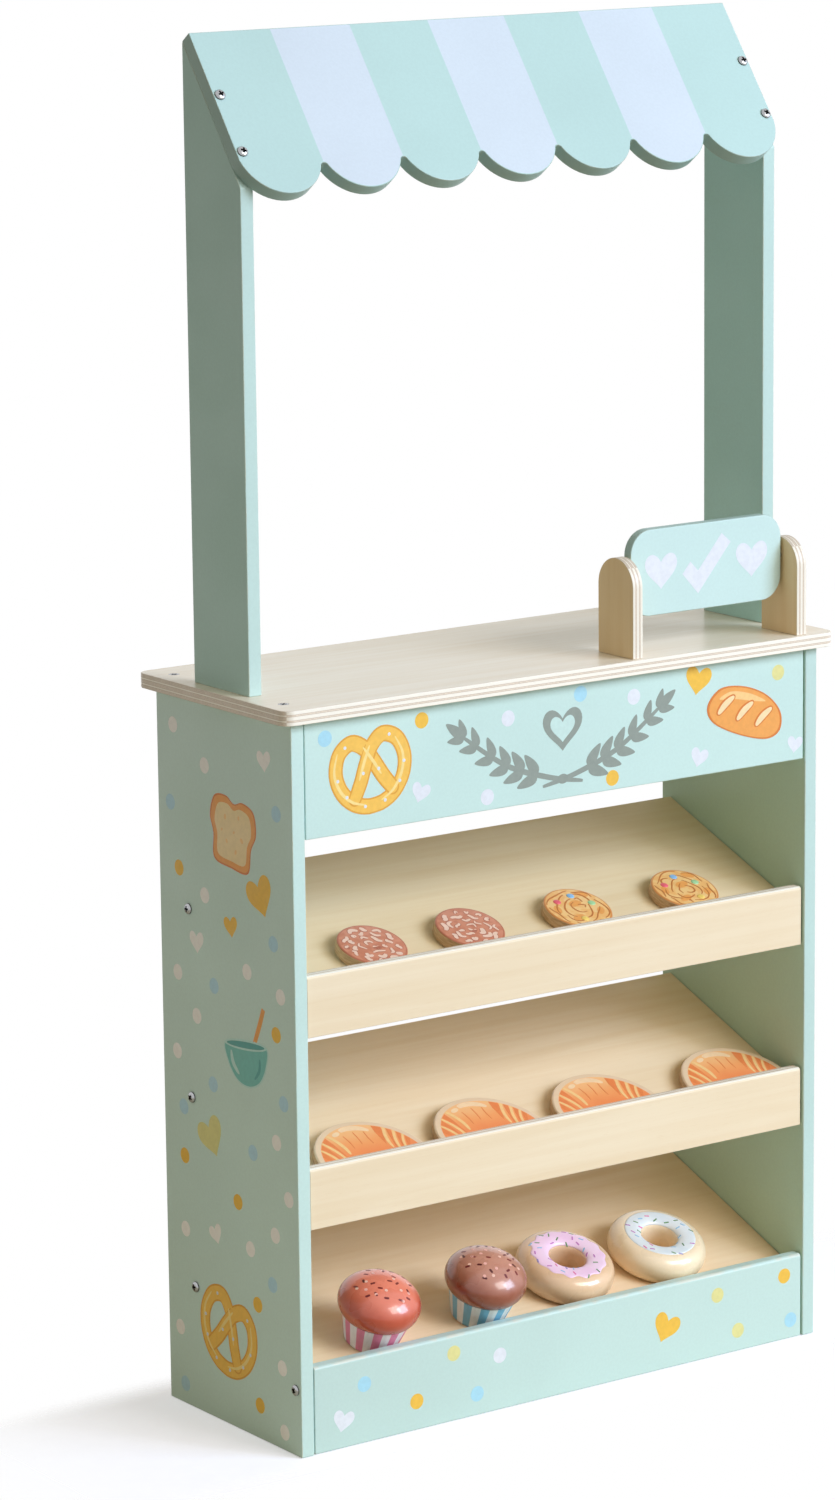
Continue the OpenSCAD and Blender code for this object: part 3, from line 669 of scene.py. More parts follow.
def set_out(name, template, finish, spots):
    """Sets a template on spots, each given as place, aim, up, size and ink colour."""
    places, *fields = zip(*spots)
    mesh = bpy.data.meshes.new(name)
    mesh.from_pydata(places, [], [])
    for (label, kind), values in zip(SPOT_FIELDS.items(), fields):
        store(mesh, label, kind, "POINT", values)
    piece = run_nodes(new_piece(name, mesh), SET_ON_POINTS, {"Template": template, "Finish": finish})
    print(name, len(spots), "copies,", len(piece.data.polygons), "faces")
    return piece


# %% [markdown]
# Screws, pins, cookies, muffins and donuts are lathe work. A profile of radius and height pairs is turned about the
# upright axis, and faces join each ring of points to the next.

# %% Lathe
MERGE = 0.001 * MM


def closed_mesh(name, points, faces, smooth=True, merge=True):
    """A mesh from points and faces, with its faces turned outwards."""
    mesh = bpy.data.meshes.new(name)
    mesh.from_pydata([tuple(p) for p in points], [], faces)
    shape = opened(mesh)
    if merge:
        bmesh.ops.remove_doubles(shape, verts=shape.verts, dist=MERGE)
    bmesh.ops.recalc_face_normals(shape, faces=shape.faces)
    for face in shape.faces:
        face.smooth = smooth
    return closed(shape, mesh)


def strip(low, high, steps):
    """Faces between two rings of points, each given by the number of its first point."""
    return [[low + s, low + (s + 1) % steps, high + (s + 1) % steps, high + s] for s in range(steps)]


def turned(name, profile, steps, ring=False):
    """A lathe shape. A ring's profile closes on itself, and a radius of 0 makes a pole."""
    points, faces, count = [], [], len(profile)
    for radius, height in profile:
        points += [(radius * c, radius * s, height) for c, s in circle(steps)]
    for p in range(count if ring else count - 1):
        low, high = p * steps, (p + 1) % count * steps
        quads = strip(low, high, steps)
        if profile[p][0] == 0:
            quads = [[low, c, d] for a, b, c, d in quads]
        elif profile[(p + 1) % count][0] == 0:
            quads = [[a, b, high] for a, b, c, d in quads]
        faces += quads
    return closed_mesh(name, points, faces)


# %% [markdown]
# Screws are bright zinc with a cross recess. A lathe profile turns the head, the threaded shank and the point, and a
# Boolean cuts the recess. A mask on the faces paints shade into the screw: black in the recess and darker at the foot
# of the head.

# %% Screw templates
SCREW_HEAD_H, SHANK_R, THREAD_R, THREAD_PITCH, SCREW_STEPS = 2.6, 1.55, 2.0, 1.6, 32
CROSS_REACH, RECESS_REACH, RECESS_DEPTH, FLAT_DEPTH = 0.5, 3.2, 1.3, 1.6
RECESS_RIM, FOOT_SHARE, FOOT_SHADE, SCREW_SHARP = 0.45, 0.3, 0.7, math.radians(40)
PAN_HEAD = [(4.1, 0.0), (4.4, 0.15), (4.5, 0.5), (4.42, 1.0), (4.1, 1.6), (3.5, 2.1), (2.6, 2.42), (1.4, 2.57)]
PAN_HEAD += [(0, SCREW_HEAD_H)]
FLAT_HEAD = [(4.35, -0.15), (4.5, -0.04), (4.4, 0.0), (0, 0.0)]


def in_mm(profile):
    return [(r * MM, h * MM) for r, h in profile]


def shank_profile(length, top):
    """The thread as ridges, from the point up to the given height."""
    profile, height = [(0, -length), (0.9, 1.8 - length)], 2.4 - length
    while height < top - THREAD_PITCH:
        profile += [(SHANK_R, height), (THREAD_R, height + 0.5), (SHANK_R, height + 1.0)]
        height += THREAD_PITCH
    return profile + [(THREAD_R, height), (THREAD_R, top)]


def cross_cutter(name, top):
    """A tapered cross that cuts a screw's recess: two bars at a right angle."""
    points, faces = [], []
    for crosswise in (False, True):
        base = len(points)
        for z, length, width in ((top + CROSS_REACH, 3.0, 0.95), (top - RECESS_DEPTH, 1.8, 0.6)):
            for sx, sy in ((-1, -1), (1, -1), (1, 1), (-1, 1)):
                x, y = sx * length * MM, sy * width * MM
                points.append((y, x, z * MM) if crosswise else (x, y, z * MM))
        faces += [[base + i for i in range(4)], [base + i for i in range(4, 8)]] + strip(base, base + 4, 4)
    return new_piece(name, closed_mesh(name, points, faces, smooth=False, merge=False))


def shaded(mesh, face, top):
    """How dark a face of a screw is, as painted shade: black in the recess and darker at the foot of the head."""
    corners = [mesh.vertices[i].co for i in face.vertices]
    reach, lowest = max(math.hypot(c.x, c.y) for c in corners), min(c.z for c in corners)
    if reach < RECESS_REACH * MM and -FLAT_DEPTH * MM < lowest < top - RECESS_RIM * MM:
        return 1.0
    return FOOT_SHADE if lowest < FOOT_SHARE * top else 0.0


def screw_template(name, head, length, shank_top):
    """A screw that points down, with its seat at height 0."""
    screw = new_piece(name, turned(name, in_mm(shank_profile(length, shank_top) + head), SCREW_STEPS))
    top = head[-1][1]
    cutter = cross_cutter(name + "_recess", top)
    cut = screw.modifiers.new("recess", "BOOLEAN")
    cut.object, cut.solver, cut.use_self = cutter, "EXACT", True
    settle(screw)
    bpy.data.objects.remove(cutter)
    screw.data.set_sharp_from_angle(angle=SCREW_SHARP)
    # The deep mask is painted shade: 1 in the recess, less at the foot of the head.
    store(screw.data, "deep", "FLOAT", "FACE", [shaded(screw.data, p, top * MM) for p in screw.data.polygons])
    return screw


def steel_finish():
    finish, tree, shader = new_finish("screw_steel", Metallic=1.0)
    place = object_place(tree)
    shade = swing(tree, noise(tree, place, 900.0, 3.0), 0.80, 1.0)
    steel = toned(tree, srgb(186, 187, 190)[:3], shade)
    # Painted shade: faces marked deep take the near-black colour.
    colour = blended(tree, attribute(tree, "deep"), steel, srgb(20, 20, 22))
    scratched = noise(tree, place, (2500.0, 2500.0, 300.0))
    dress(tree, shader, colour, swing(tree, scratched, 0.16, 0.34), scratched, 0.06, 0.00005)
    return finish


SCREW_STEEL = steel_finish()
print("screw heads:", len(PAN_HEAD), "and", len(FLAT_HEAD), "points")

# %% [markdown]
# The CAD screws give the places: each solid's own points show where its axis runs and how high it reaches. A screw
# stops turning where it is tight, so every recess lies at another angle.

# %% Screws
PLAIN_INK = (1, 1, 1, 1)
FIRST_LEAN, LEAN_STEP = 0.35, 0.9


def solids_of(node):
    """The points of each separate solid in a CAD node."""
    shape = opened(frame["nodes"][node].data)
    bmesh.ops.remove_doubles(shape, verts=shape.verts, dist=WELD)
    solids = touching(shape.verts, lambda vertex: [e.other_vert(vertex) for e in vertex.link_edges])
    found = [np.array([v.co for v in solid]) for solid in solids]
    shape.free()
    return found


def axis_spot(points, aim, end_drop):
    """Where a solid's axis passes a distance below its highest point along the aim."""
    side = aim.orthogonal().normalized()
    place = Vector((0, 0, 0))
    for direction in (side, aim.cross(side)):
        reach = points @ np.array(direction)
        place += direction * float(reach.min() + reach.max()) / 2
    return place + aim * (float((points @ np.array(aim)).max()) - end_drop)


SCREW_SETS = {
    "side_screws": (40.0, PAN_HEAD, 0.0, lambda p: X if p[:, 0].mean() > 0 else -X),
    "counter_screws": (40.0, FLAT_HEAD, -SCREW_HEAD_H, lambda p: Z),
    "awning_screws": (40.0, PAN_HEAD, 0.0, lambda p: off_slope(AWNING_SLOPE)),
    "bracket_screws": (32.0, PAN_HEAD, 0.0, lambda p: -Z),
}
for order, (node, (length, head, shank_top, aim_of)) in enumerate(SCREW_SETS.items()):
    template = screw_template("screw_template", head, length, shank_top)
    spots = []
    for count, points in enumerate(solids_of(node)):
        aim = aim_of(points)
        up = Matrix.Rotation(FIRST_LEAN + LEAN_STEP * count + order, 3, aim) @ aim.orthogonal().normalized()
        spots.append((axis_spot(points, aim, head[-1][1] * MM), aim, up, 1.0, PLAIN_INK))
    hand_over(set_out(node + "_threaded", template, SCREW_STEEL, spots), "stall", "screw_steel", node)
    bpy.data.objects.remove(template)

# %% [markdown]
# Dowels hold the boards together inside. A dowel has chamfered ends and straight flutes that let glue escape.
# The pivot pins of the sign are plain steel with chamfered ends. Both are seen only when the stall comes apart.

# %% Dowels and pins
DOWEL_R, FLUTES, GROOVE, DOWEL_CHAMFER, DOWEL_TAPER = 3.0, 14, 0.25, 1.5, 1.0
PIN_R, PIN_CHAMFER = 2.5, 0.5


def fluted(name, length):
    """A fluted dowel that stands on height 0."""
    steps, tip = FLUTES * 4, DOWEL_R - DOWEL_TAPER
    points, faces = [], []
    for height, reach in ((0.0, tip), (DOWEL_CHAMFER, DOWEL_R), (length - DOWEL_CHAMFER, DOWEL_R), (length, tip)):
        for i, (c, s) in enumerate(circle(steps)):
            r = (reach - (0 if i % 4 else GROOVE)) * MM
            points.append((r * c, r * s, height * MM))
    for ring in range(3):
        faces += strip(ring * steps, (ring + 1) * steps, steps)
    faces += [list(range(steps))[::-1], list(range(3 * steps, 4 * steps))]
    mesh = closed_mesh(name, points, faces)
    mesh.set_sharp_from_angle(angle=math.radians(35))
    return new_piece(name, mesh)


def dowel_finish():
    finish, tree, shader = new_finish("dowel_wood")
    wood = {"Pale": srgb(236, 213, 170), "Dark": srgb(205, 170, 122)}
    grain = grouped(tree, BIRCH_VENEER, Board=object_place(tree), **wood)
    dress(tree, shader, grain["Color"], grain["Roughness"], grain["Height"], 0.15)
    return finish


DOWEL_WOOD = dowel_finish()
for node, aim, up in (("assembly_dowels", X, Y), ("post_dowels", Z, X)):
    solids = solids_of(node)
    length = float(np.ptp(solids[0] @ np.array(aim))) / MM
    template = fluted("dowel_template", length)
    spots = [(axis_spot(p, aim, length * MM), aim, up, 1.0, PLAIN_INK) for p in solids]
    hand_over(set_out(node + "_fluted", template, DOWEL_WOOD, spots), "stall", "dowel_wood", node)
    bpy.data.objects.remove(template)

solids = solids_of("sign_pivot_pins")
length = float(np.ptp(solids[0][:, 0])) / MM
half = [(0, 0), (PIN_R - PIN_CHAMFER, 0), (PIN_R, PIN_CHAMFER)]
template = new_piece("pin_template", turned("pin", in_mm(half + [(r, length - h) for r, h in half[::-1]]), SCREW_STEPS))
spots = [(axis_spot(p, X, length * MM), X, Y, 1.0, PLAIN_INK) for p in solids]
pins = set_out("sign_pivot_pins_turned", template, SCREW_STEEL, spots)
pins.data.set_sharp_from_angle(angle=math.radians(30))
PIN_BODY = next(b for b, nodes in frame["record"]["behaviour"]["bodies"].items() if "sign_pivot_pins" in nodes)
hand_over(pins, PIN_BODY, "screw_steel", "sign_pivot_pins")
bpy.data.objects.remove(template)

# %% [markdown]
# The prints on the painted boards are thin layers of ink: dots and hearts in four colours, and a few bakery motifs.
# Each print is a real layer about a tenth of a millimetre thick, so its edge stays crisp at any distance. The dots and
# hearts are set out by the node tree above. A panel has its own right, up and outward directions.

# %% Print ink and panel faces
INK_SINK, INK_LAYER, STAMP_DEPTH = 0.05 * MM, 0.07 * MM, 60
WHITE_INK, ORANGE_INK = srgb(232, 236, 247), srgb(245, 195, 76)
YELLOW_INK, BLUE_INK, GREY_INK = srgb(230, 224, 154), srgb(172, 222, 244), srgb(146, 156, 150)


def ink_finish():
    finish, tree, shader = new_finish("print_ink")
    place = object_place(tree)
    colour = toned(tree, attribute(tree, "ink", "Color"), swing(tree, noise(tree, place, 260.0), 0.96, 1.02))
    dress(tree, shader, colour, swing(tree, noise(tree, place, 30.0), 0.36, 0.48))
    return finish


def disc_outline(steps=28):
    return [(c / 2, s / 2) for c, s in circle(steps)]


def heart_outline(steps=44):
    """A plump heart one unit high, drawn counter-clockwise."""
    points = []
    for s in range(steps):
        t = TURN * s / steps
        x = 16.5 * math.copysign(abs(math.sin(t)) ** 2.3, math.sin(t))
        y = 13 * math.cos(t) - 5 * math.cos(2 * t) - 2 * math.cos(3 * t) - math.cos(4 * t)
        points.append((-x / 31, (y + 2.5) / 31))
    return points


def slab(outline, low, high):
    """Points and faces of a flat layer with the given outline."""
    count = len(outline)
    points = [(x, y, z) for z in (low, high) for x, y in outline]
    triangles = tessellate_polygon([[Vector((x, y, 0)) for x, y in outline]])
    faces = [[count + i for i in t] for t in triangles] + [list(t)[::-1] for t in triangles]
    return points, faces + strip(0, count, count)


def flat_template(name, outline, low, high):
    return new_piece(name, closed_mesh(name, *slab(outline, low, high), smooth=False))


def stamp(name, outline):
    """A one-unit template for a printed shape, thin once it is sized."""
    return flat_template(name, outline, -INK_SINK * STAMP_DEPTH, INK_LAYER * STAMP_DEPTH)


PRINT_INK = ink_finish()
SIDE_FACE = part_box("right_side_panel")[1].x
SIGN_LOW, SIGN_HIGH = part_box("sign_board")
SIGN_MID = (SIGN_LOW + SIGN_HIGH) / 2
FACES = {
    "front": (Vector((0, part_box("header_panel")[0].y, 0)), X, Z),
    "left": (Vector((-SIDE_FACE, 0, 0)), -Y, Z),
    "right": (Vector((SIDE_FACE, 0, 0)), Y, Z),
    "sign_front": (Vector((SIGN_MID.x, SIGN_LOW.y, SIGN_MID.z)), X, Z),
    "sign_back": (Vector((SIGN_MID.x, SIGN_HIGH.y, SIGN_MID.z)), -X, Z),
}
print("panel faces:", list(FACES))

# %% [markdown]
# Where the dots and hearts lie. Every entry is right and up on its panel in millimetres, and a heart has its size and
# turn as well. The two sides carry the same spots, mirrored, so that the front edge of each panel looks alike.

# %% Dots and hearts
DOT = 13.0
# Painted light: the sides' white and blue inks are lighter than the front's, to make up for the shade on the side
# panels.
SIDE_WHITE_LIT, SIDE_BLUE_LIT = srgb(255, 253, 255), srgb(188, 226, 247)
FRONT_DOTS = [
    (BLUE_INK, [(-230, 578), (18, 583), (-201, 49), (-90, 18), (238, 16)]),
    (ORANGE_INK, [(-138, 581), (50, 510), (-150, 24), (231, 56)]),
    (WHITE_INK, [(-54, 572), (-75, 511), (72, 574), (-67, 46)]),
    (YELLOW_INK, [(222, 576), (-113, 57), (159, 53), (181, 18)]),
]
SIDE_DOTS = [
    (SIDE_WHITE_LIT, [(-72, 567), (-27, 541), (-30, 435), (-72, 364), (29, 384), (76, 373), (-45, 333), (-75, 298)]),
    (SIDE_WHITE_LIT, [(67, 253), (83, 210), (-68, 150), (63, 176), (27, 156), (-79, 64), (70, 68), (72, 15)]),
    (SIDE_BLUE_LIT, [(-78, 503), (74, 519), (67, 414), (-19, 363), (-23, 281), (-67, 253), (78, 287), (33, 237)]),
    (SIDE_BLUE_LIT, [(58, 134), (-73, 17)]),
    (ORANGE_INK, [(-67, 451), (69, 341), (-67, 212), (10, 191), (36, 112), (37, 28)]),
]
FRONT_HEARTS = [
    (WHITE_INK, [(-140, 523, 17, -20), (139, 515, 17, -18), (240, 513, 15, -10), (-222, 22, 19, -16)]),
    (ORANGE_INK, [(138, 579, 25, -12), (104, 35, 26, -26)]),
]
SIDE_HEARTS = [
    (SIDE_WHITE_LIT, [(58, 558, 18, 6), (-43, 394, 19, 4), (-23, 156, 17, 24)]),
    (ORANGE_INK, [(50, 448, 34, 24), (7, 416, 18, 10)]),
    (YELLOW_INK, [(-27, 236, 34, 28)]),
]


def panel_spot(face, flip, ink, right, up, size=DOT, turn=0):
    """One printed spot on a panel, mirrored across the panel where flip is -1."""
    origin, along, upward = FACES[face]
    outward = along.cross(upward)
    lean = Matrix.Rotation(math.radians(turn * flip), 3, outward)
    place = origin + along * right * flip * MM + upward * up * MM
    return (place, outward, lean @ upward, size * MM, ink)


STAMPS = {"dots": stamp("dot_stamp", disc_outline()), "hearts": stamp("heart_stamp", heart_outline())}
for face, dots, hearts, flip in (
    ("front", FRONT_DOTS, FRONT_HEARTS, 1),
    ("left", SIDE_DOTS, SIDE_HEARTS, 1),
    ("right", SIDE_DOTS, SIDE_HEARTS, -1),
):
    for kind, inks in (("dots", dots), ("hearts", hearts)):
        spots = [panel_spot(face, flip, ink, *spot) for ink, places in inks for spot in places]
        hand_over(set_out(f"{face}_{kind}", STAMPS[kind], PRINT_INK, spots), "stall")
for template in STAMPS.values():
    bpy.data.objects.remove(template)

# %% [markdown]
# The larger motifs are drawn like cut paper: ovals, outlines and brush strokes, one on top of the other. A stroke
# follows a smooth path and swells and thins along it. Each motif is a list of layers in its own small frame, and one
# mesh holds all the motifs of a panel.

# %% Motif drawing tools
SAME_INK_STEP, NEW_INK_STEP, SWELL_POWER = 0.02, 0.14, 0.6


def moved(outline, x, y, scale=1.0, turn=0.0):
    c, s = math.cos(math.radians(turn)) * scale, math.sin(math.radians(turn)) * scale
    return [(x + px * c - py * s, y + px * s + py * c) for px, py in outline]


def placed(layers, x, y, scale=1.0, turn=0.0):
    return [(moved(outline, x, y, scale, turn), ink) for outline, ink in layers]


def oval(x, y, width, height, turn=0.0, steps=32):
    return moved([(px * width, py * height) for px, py in disc_outline(steps)], x, y, turn=turn)


def smooth_path(points, steps=10, closed=False):
    """A Catmull-Rom curve through the points."""
    count, path = len(points), []
    for i in range(count if closed else count - 1):
        near = [points[j % count] if closed else points[max(0, min(count - 1, j))] for j in range(i - 1, i + 3)]
        for s in range(steps):
            t = s / steps
            weights = (-t**3 + 2 * t**2 - t, 3 * t**3 - 5 * t**2 + 2, -3 * t**3 + 4 * t**2 + t, t**3 - t**2)
            path.append(tuple(sum(w * p[k] for w, p in zip(weights, near)) / 2 for k in (0, 1)))
    return path if closed else path + [points[-1]]


def stroke(points, width, ends=(0.15, 0.15), steps=10):
    """The outline of a brush stroke along a path, thinner at its ends."""
    path = smooth_path(points, steps)
    left, right, last = [], [], len(path) - 1
    for i, (x, y) in enumerate(path):
        (ax, ay), (bx, by) = path[max(0, i - 1)], path[min(last, i + 1)]
        length = math.hypot(bx - ax, by - ay) or 1
        share = i / last
        thin = ends[0] + (ends[1] - ends[0]) * share
        half = width / 2 * (thin + (1 - thin) * math.sin(math.pi * share) ** SWELL_POWER)
        nx, ny = -(by - ay) / length * half, (bx - ax) / length * half
        left.append((x + nx, y + ny))
        right.append((x - nx, y - ny))
    return left + right[::-1]


def print_motifs(name, face, layers, body, flip=1):
    """Prints layers, each an outline in millimetres with an ink, on a panel. Later layers lie on earlier ones."""
    origin, along, upward = FACES[face]
    outward = along.cross(upward)
    points, faces, inks, level = [], [], [], 1.0
    for outline, ink in layers:
        level += SAME_INK_STEP if inks and inks[-1] == ink else NEW_INK_STEP
        flat, cells = slab([(x * MM * flip, y * MM) for x, y in outline], -INK_SINK, INK_LAYER * level)
        base = len(points)
        points += [origin + along * x + upward * y + outward * z for x, y, z in flat]
        faces += [[base + i for i in cell] for cell in cells]
        inks += [ink] * len(flat)
    mesh = closed_mesh(name, points, faces, smooth=False, merge=False)
    store(mesh, "ink", "FLOAT_COLOR", "POINT", inks)
    print(name, len(layers), "layers")
    return hand_over(new_piece(name, mesh, PRINT_INK), body)


# %% [markdown]
# The motifs are everyday bakery things: a sprig of wheat, a knotted pretzel, a scored loaf, a slice of bread and a
# mixing bowl with a whisk. Each function draws one about the point (0, 0), and gives its layers from the bottom up.

# %% Bakery motifs
GOLD, GOLD_DARK, GOLD_LIGHT = srgb(250, 199, 92), srgb(232, 166, 62), srgb(255, 226, 150)
CRUST, CRUST_DARK, CRUST_LIGHT = srgb(243, 168, 88), srgb(222, 128, 58), srgb(253, 208, 142)
CRUMB = srgb(252, 226, 178)
TEAL, TEAL_DARK, TEAL_LIGHT = srgb(124, 198, 194), srgb(92, 168, 168), srgb(196, 232, 230)
LEAF = [(math.cos(t) / 2, 0.21 * math.sin(t) * (1 - 0.45 * math.cos(t))) for t in np.linspace(0, TURN, 24, False)]
GRAINS, GRAIN_LEAN, GRAIN_SHIFT = 6, 36, 0.6
ROPE_W, ROPE_EDGE_W = 10.0, 12.6
ROPE = [(7, -26), (-7, -25.5), (-19, -20), (-28, -9), (-31, 5), (-26, 19), (-14, 25), (-3, 18), (4, 6), (10, -6)]
ROPE += [(17, -17)]
SALT = [(-30, 0), (-24, -14), (-9, -25), (9, -25), (24, -14), (30, 0), (-20, 23), (20, 23), (-7, 0), (7, 0)]
LOAF = [(-38, -4), (-30, 12), (-8, 19), (16, 18), (34, 9), (39, -5), (28, -15), (0, -18), (-28, -15)]
LOAF_SHINE = [(-30, 4), (-20, 13), (0, 16), (18, 14), (6, 11), (-14, 8)]
SLICE = [(-24, -28), (-27, -8), (-33, 6), (-28, 23), (-12, 27), (0, 23)]
SLICE += [(12, 27), (28, 23), (33, 6), (27, -8), (24, -28), (0, -30)]
CRUMB_HOLES = [(-12, 10, 5), (8, 14, 4), (14, -4, 5.5), (-8, -10, 4), (2, 0, 3.4), (-16, -2, 3), (6, -16, 4.6)]
BOWL = [(-30, 6), (-28, -10), (-17, -24), (0, -29), (17, -24), (28, -10), (30, 6), (0, 6.5)]


def wheat_sprig(side):
    """A sprig that leans to one side, with pairs of grains along its stem."""
    stem = [(-20 * side, -36), (14 * side, -29), (56 * side, -14), (98 * side, 14)]
    layers = [(stroke(stem, 4.6, (0.45, 0.5)), GREY_INK)]
    path = smooth_path(stem, 12)
    for step in range(GRAINS):
        i, size = 15 + step * 4, 21.0 - step
        (ax, ay), (bx, by) = path[i - 1], path[min(36, i + 1)]
        along = math.degrees(math.atan2(by - ay, bx - ax))
        for turn in (along + GRAIN_LEAN, along - GRAIN_LEAN):
            angle, shift = math.radians(turn), size * GRAIN_SHIFT
            x, y = path[i][0] + math.cos(angle) * shift, path[i][1] + math.sin(angle) * shift
            layers.append((moved(LEAF, x, y, size, turn), GREY_INK))
    x, y = path[-1]
    return layers + [(moved(LEAF, x + 9 * side, y + 7, 19, 37 if side > 0 else 143), GREY_INK)]


def header_ornament():
    knot, heart = [(oval(0, -32, 11, 8), GREY_INK)], heart_outline()
    hearts = [(moved(heart, 0, 8, 37), GREY_INK), (moved(heart, 0, 8.6, 23), MINT)]
    return wheat_sprig(-1) + wheat_sprig(1) + knot + hearts


def rope_part(rope, start, width, ink):
    """A stretch of rope from one of its points to its end, with a round tip."""
    tip = oval(*rope[-1], width * 0.93, width * 0.93, steps=20)
    return [(stroke(rope[start:], width, (0.92, 0.92), 6), ink), (tip, ink)]


def pretzel():
    """A knotted pretzel: two ropes that meet below, cross in the middle and end on each other."""
    ropes = [[(x * side, y) for x, y in ROPE] for side in (1, -1)]
    layers = []
    for width, ink in ((ROPE_EDGE_W, GOLD_DARK), (ROPE_W, GOLD)):
        layers += [part for rope in ropes for part in rope_part(rope, 0, width, ink)]
    for rope in ropes:
        layers += rope_part(rope, 7, ROPE_EDGE_W, GOLD_DARK) + rope_part(rope, 6, ROPE_W, GOLD)
    for rope in ropes:
        for stretch in (rope[1:6], rope[7:10]):
            layers.append((stroke([(x - 1.3, y + 1.4) for x, y in stretch], 2.6), GOLD_LIGHT))
    return layers + [(oval(x, y, 2.7, 2.7, steps=12), WHITE_INK) for x, y in SALT]


def loaf():
    """A long loaf with three slashes across its crust."""
    body, shine = smooth_path(LOAF, 8, True), smooth_path(LOAF_SHINE, 6, True)
    layers = [(moved(body, 0, 0, 1.06), CRUST_DARK), (body, CRUST), (shine, CRUST_LIGHT)]
    for x in (-21, 0, 21):
        layers.append((stroke([(x - 7, -9), (x - 2, 1), (x + 6, 11)], 8.5), CRUST_DARK))
        layers.append((stroke([(x - 6, -8), (x - 1.4, 1.4), (x + 5.4, 10)], 5.6), CRUMB))
    return layers


def bread_slice():
    """A slice of bread with a crust all round."""
    outer = smooth_path(SLICE, 8, True)
    layers = [(moved(outer, 0, 0, 1.05), CRUST_DARK), (outer, CRUST), (moved(outer, 0, -0.5, 0.83), CRUMB)]
    return layers + [(oval(x, y, size, size * 0.7, 20 + 9 * x, 16), CRUST_LIGHT) for x, y, size in CRUMB_HOLES]


def mixing_bowl():
    """A round bowl with a pale rim, and a whisk that leans out of it."""
    layers = [(stroke([(12, 6), (24, 26), (31, 39)], 5.4, (0.8, 0.9)), CRUST)]
    for bend in (-7, 0, 7):
        loop = [(13 - bend * 0.2, 10), (5 + bend, 1), (-2 + bend, -9)]
        layers.append((stroke(loop, 1.8, (0.7, 0.7)), WHITE_INK))
    bowl = smooth_path(BOWL, 8, True)
    shine, shade = stroke([(-23, 0), (-21, -11), (-13, -20)], 4.5), stroke([(20, -4), (18, -14), (10, -22)], 3.4)
    layers += [(moved(bowl, 0, 0, 1.05), TEAL_LIGHT), (bowl, TEAL), (shine, TEAL_LIGHT), (shade, TEAL_DARK)]
    return layers + [(oval(0, 6, 64, 9), TEAL_LIGHT), (oval(0, 6, 57, 5.6), TEAL_DARK)]


front_layers = placed(header_ornament(), 0, 548)
front_layers += placed(pretzel(), -187, 547, 1.06, 8) + placed(loaf(), 187, 547, 1.0, -20)
side_layers = placed(bread_slice(), 12, 494, 0.95, -6) + placed(mixing_bowl(), 26, 318, 0.95, 6)
side_layers += placed(pretzel(), -8, 76, 1.12, -16)
print_motifs("header_print", "front", front_layers, "stall")
print_motifs("left_print", "left", side_layers, "stall")
print_motifs("right_print", "right", side_layers, "stall", -1)

# %% [markdown]
# The sign says which way it is turned with plain pictures: a tick between two hearts on the front, and a cross between
# two bars on the back. Both ride with the sign, so they turn over with it.

# %% Sign pictures
TICK = [(-17, 1), (-5, -12), (20, 17), (13, 23), (-5, 2), (-11, 8)]
CROSS = [(-16, 10), (-10, 16), (0, 6), (10, 16), (16, 10), (6, 0)]
CROSS += [(-x, -y) for x, y in CROSS]
BAR = [(-13, -4.5), (13, -4.5), (13, 4.5), (-13, 4.5)]
side_hearts = [(moved(heart_outline(), x, 0, 31), WHITE_INK) for x in (-47, 47)]
side_bars = [(moved(BAR, x, 0), WHITE_INK) for x in (-46, 46)]
print_motifs("sign_tick", "sign_front", [(moved(TICK, -2, -6, 1.35), WHITE_INK)] + side_hearts, "sign")
print_motifs("sign_cross", "sign_back", [(moved(CROSS, 0, 0, 1.15), WHITE_INK)] + side_bars, "sign")

# %% [markdown]
# Wooden pastries. They are turned on a lathe or sawn from board, painted, and printed on top. Each is built lying flat
# about its own middle, keeps those small coordinates in an attribute for its print, and is then laid on its shelf:
# leaned back by the shelf's slope at the place that its CAD solid has.

# %% Pastry places
SEATS = {"top": (-81.5, 374.0), "middle": (-81.5, 218.0), "bottom": (-83.0, 58.0)}
REST_GAP, BAKE_H = 0.3, 10.0


def shelf_place(shelf, node, by_edge=False):
    """A pastry's frame on a shelf, from its CAD solid: its middle across, its middle or lower edge up the slope."""
    seat_y, seat_z = SEATS[shelf]
    lean = Matrix.Translation((0, seat_y * MM, seat_z * MM)) @ Matrix.Rotation(SHELF_SLOPE, 4, "X")
    level = lean.inverted()
    flat = np.array([level @ v.co for v in frame["nodes"][node].data.vertices])
    low, high = flat.min(0), flat.max(0)
    up = low[1] if by_edge else (low[1] + high[1]) / 2
    return lean @ Matrix.Translation(((low[0] + high[0]) / 2, up, REST_GAP * MM))


def add_face(node, place):
    """Makes the flat top of a pastry a face to print on."""
    FACES[node] = (place @ Vector((0, 0, BAKE_H * MM)), X, place.to_3x3() @ Y)


def lay_down(piece, place):
    """Keeps a piece's flat coordinates in its bake attribute and moves its points to their place."""
    store(piece.data, "bake", "FLOAT_VECTOR", "POINT", [v.co for v in piece.data.vertices])
    piece.data.transform(place)
    return piece


print("shelves:", SEATS)

# %% [markdown]
# Cookies are slices of a round rod with a printed top. A finish gives the dough, the rim and the bare wood of the side.
# The marks are printed strokes in rings about the middle, of random length: pale ones with a dark line round them on
# the cocoa cookies, and thin baked lines with amber patches on the golden ones, which carry four candies each.

# %% Cookie finishes
COOKIE_R, COOKIE_EASE, DOUGH_R = 29.0, 1.2, 27.0
COCOA_COLOURS = srgb(218, 144, 116), srgb(208, 130, 102), srgb(192, 114, 86)
GOLDEN_COLOURS = srgb(252, 208, 142), srgb(248, 192, 120), srgb(222, 146, 80)


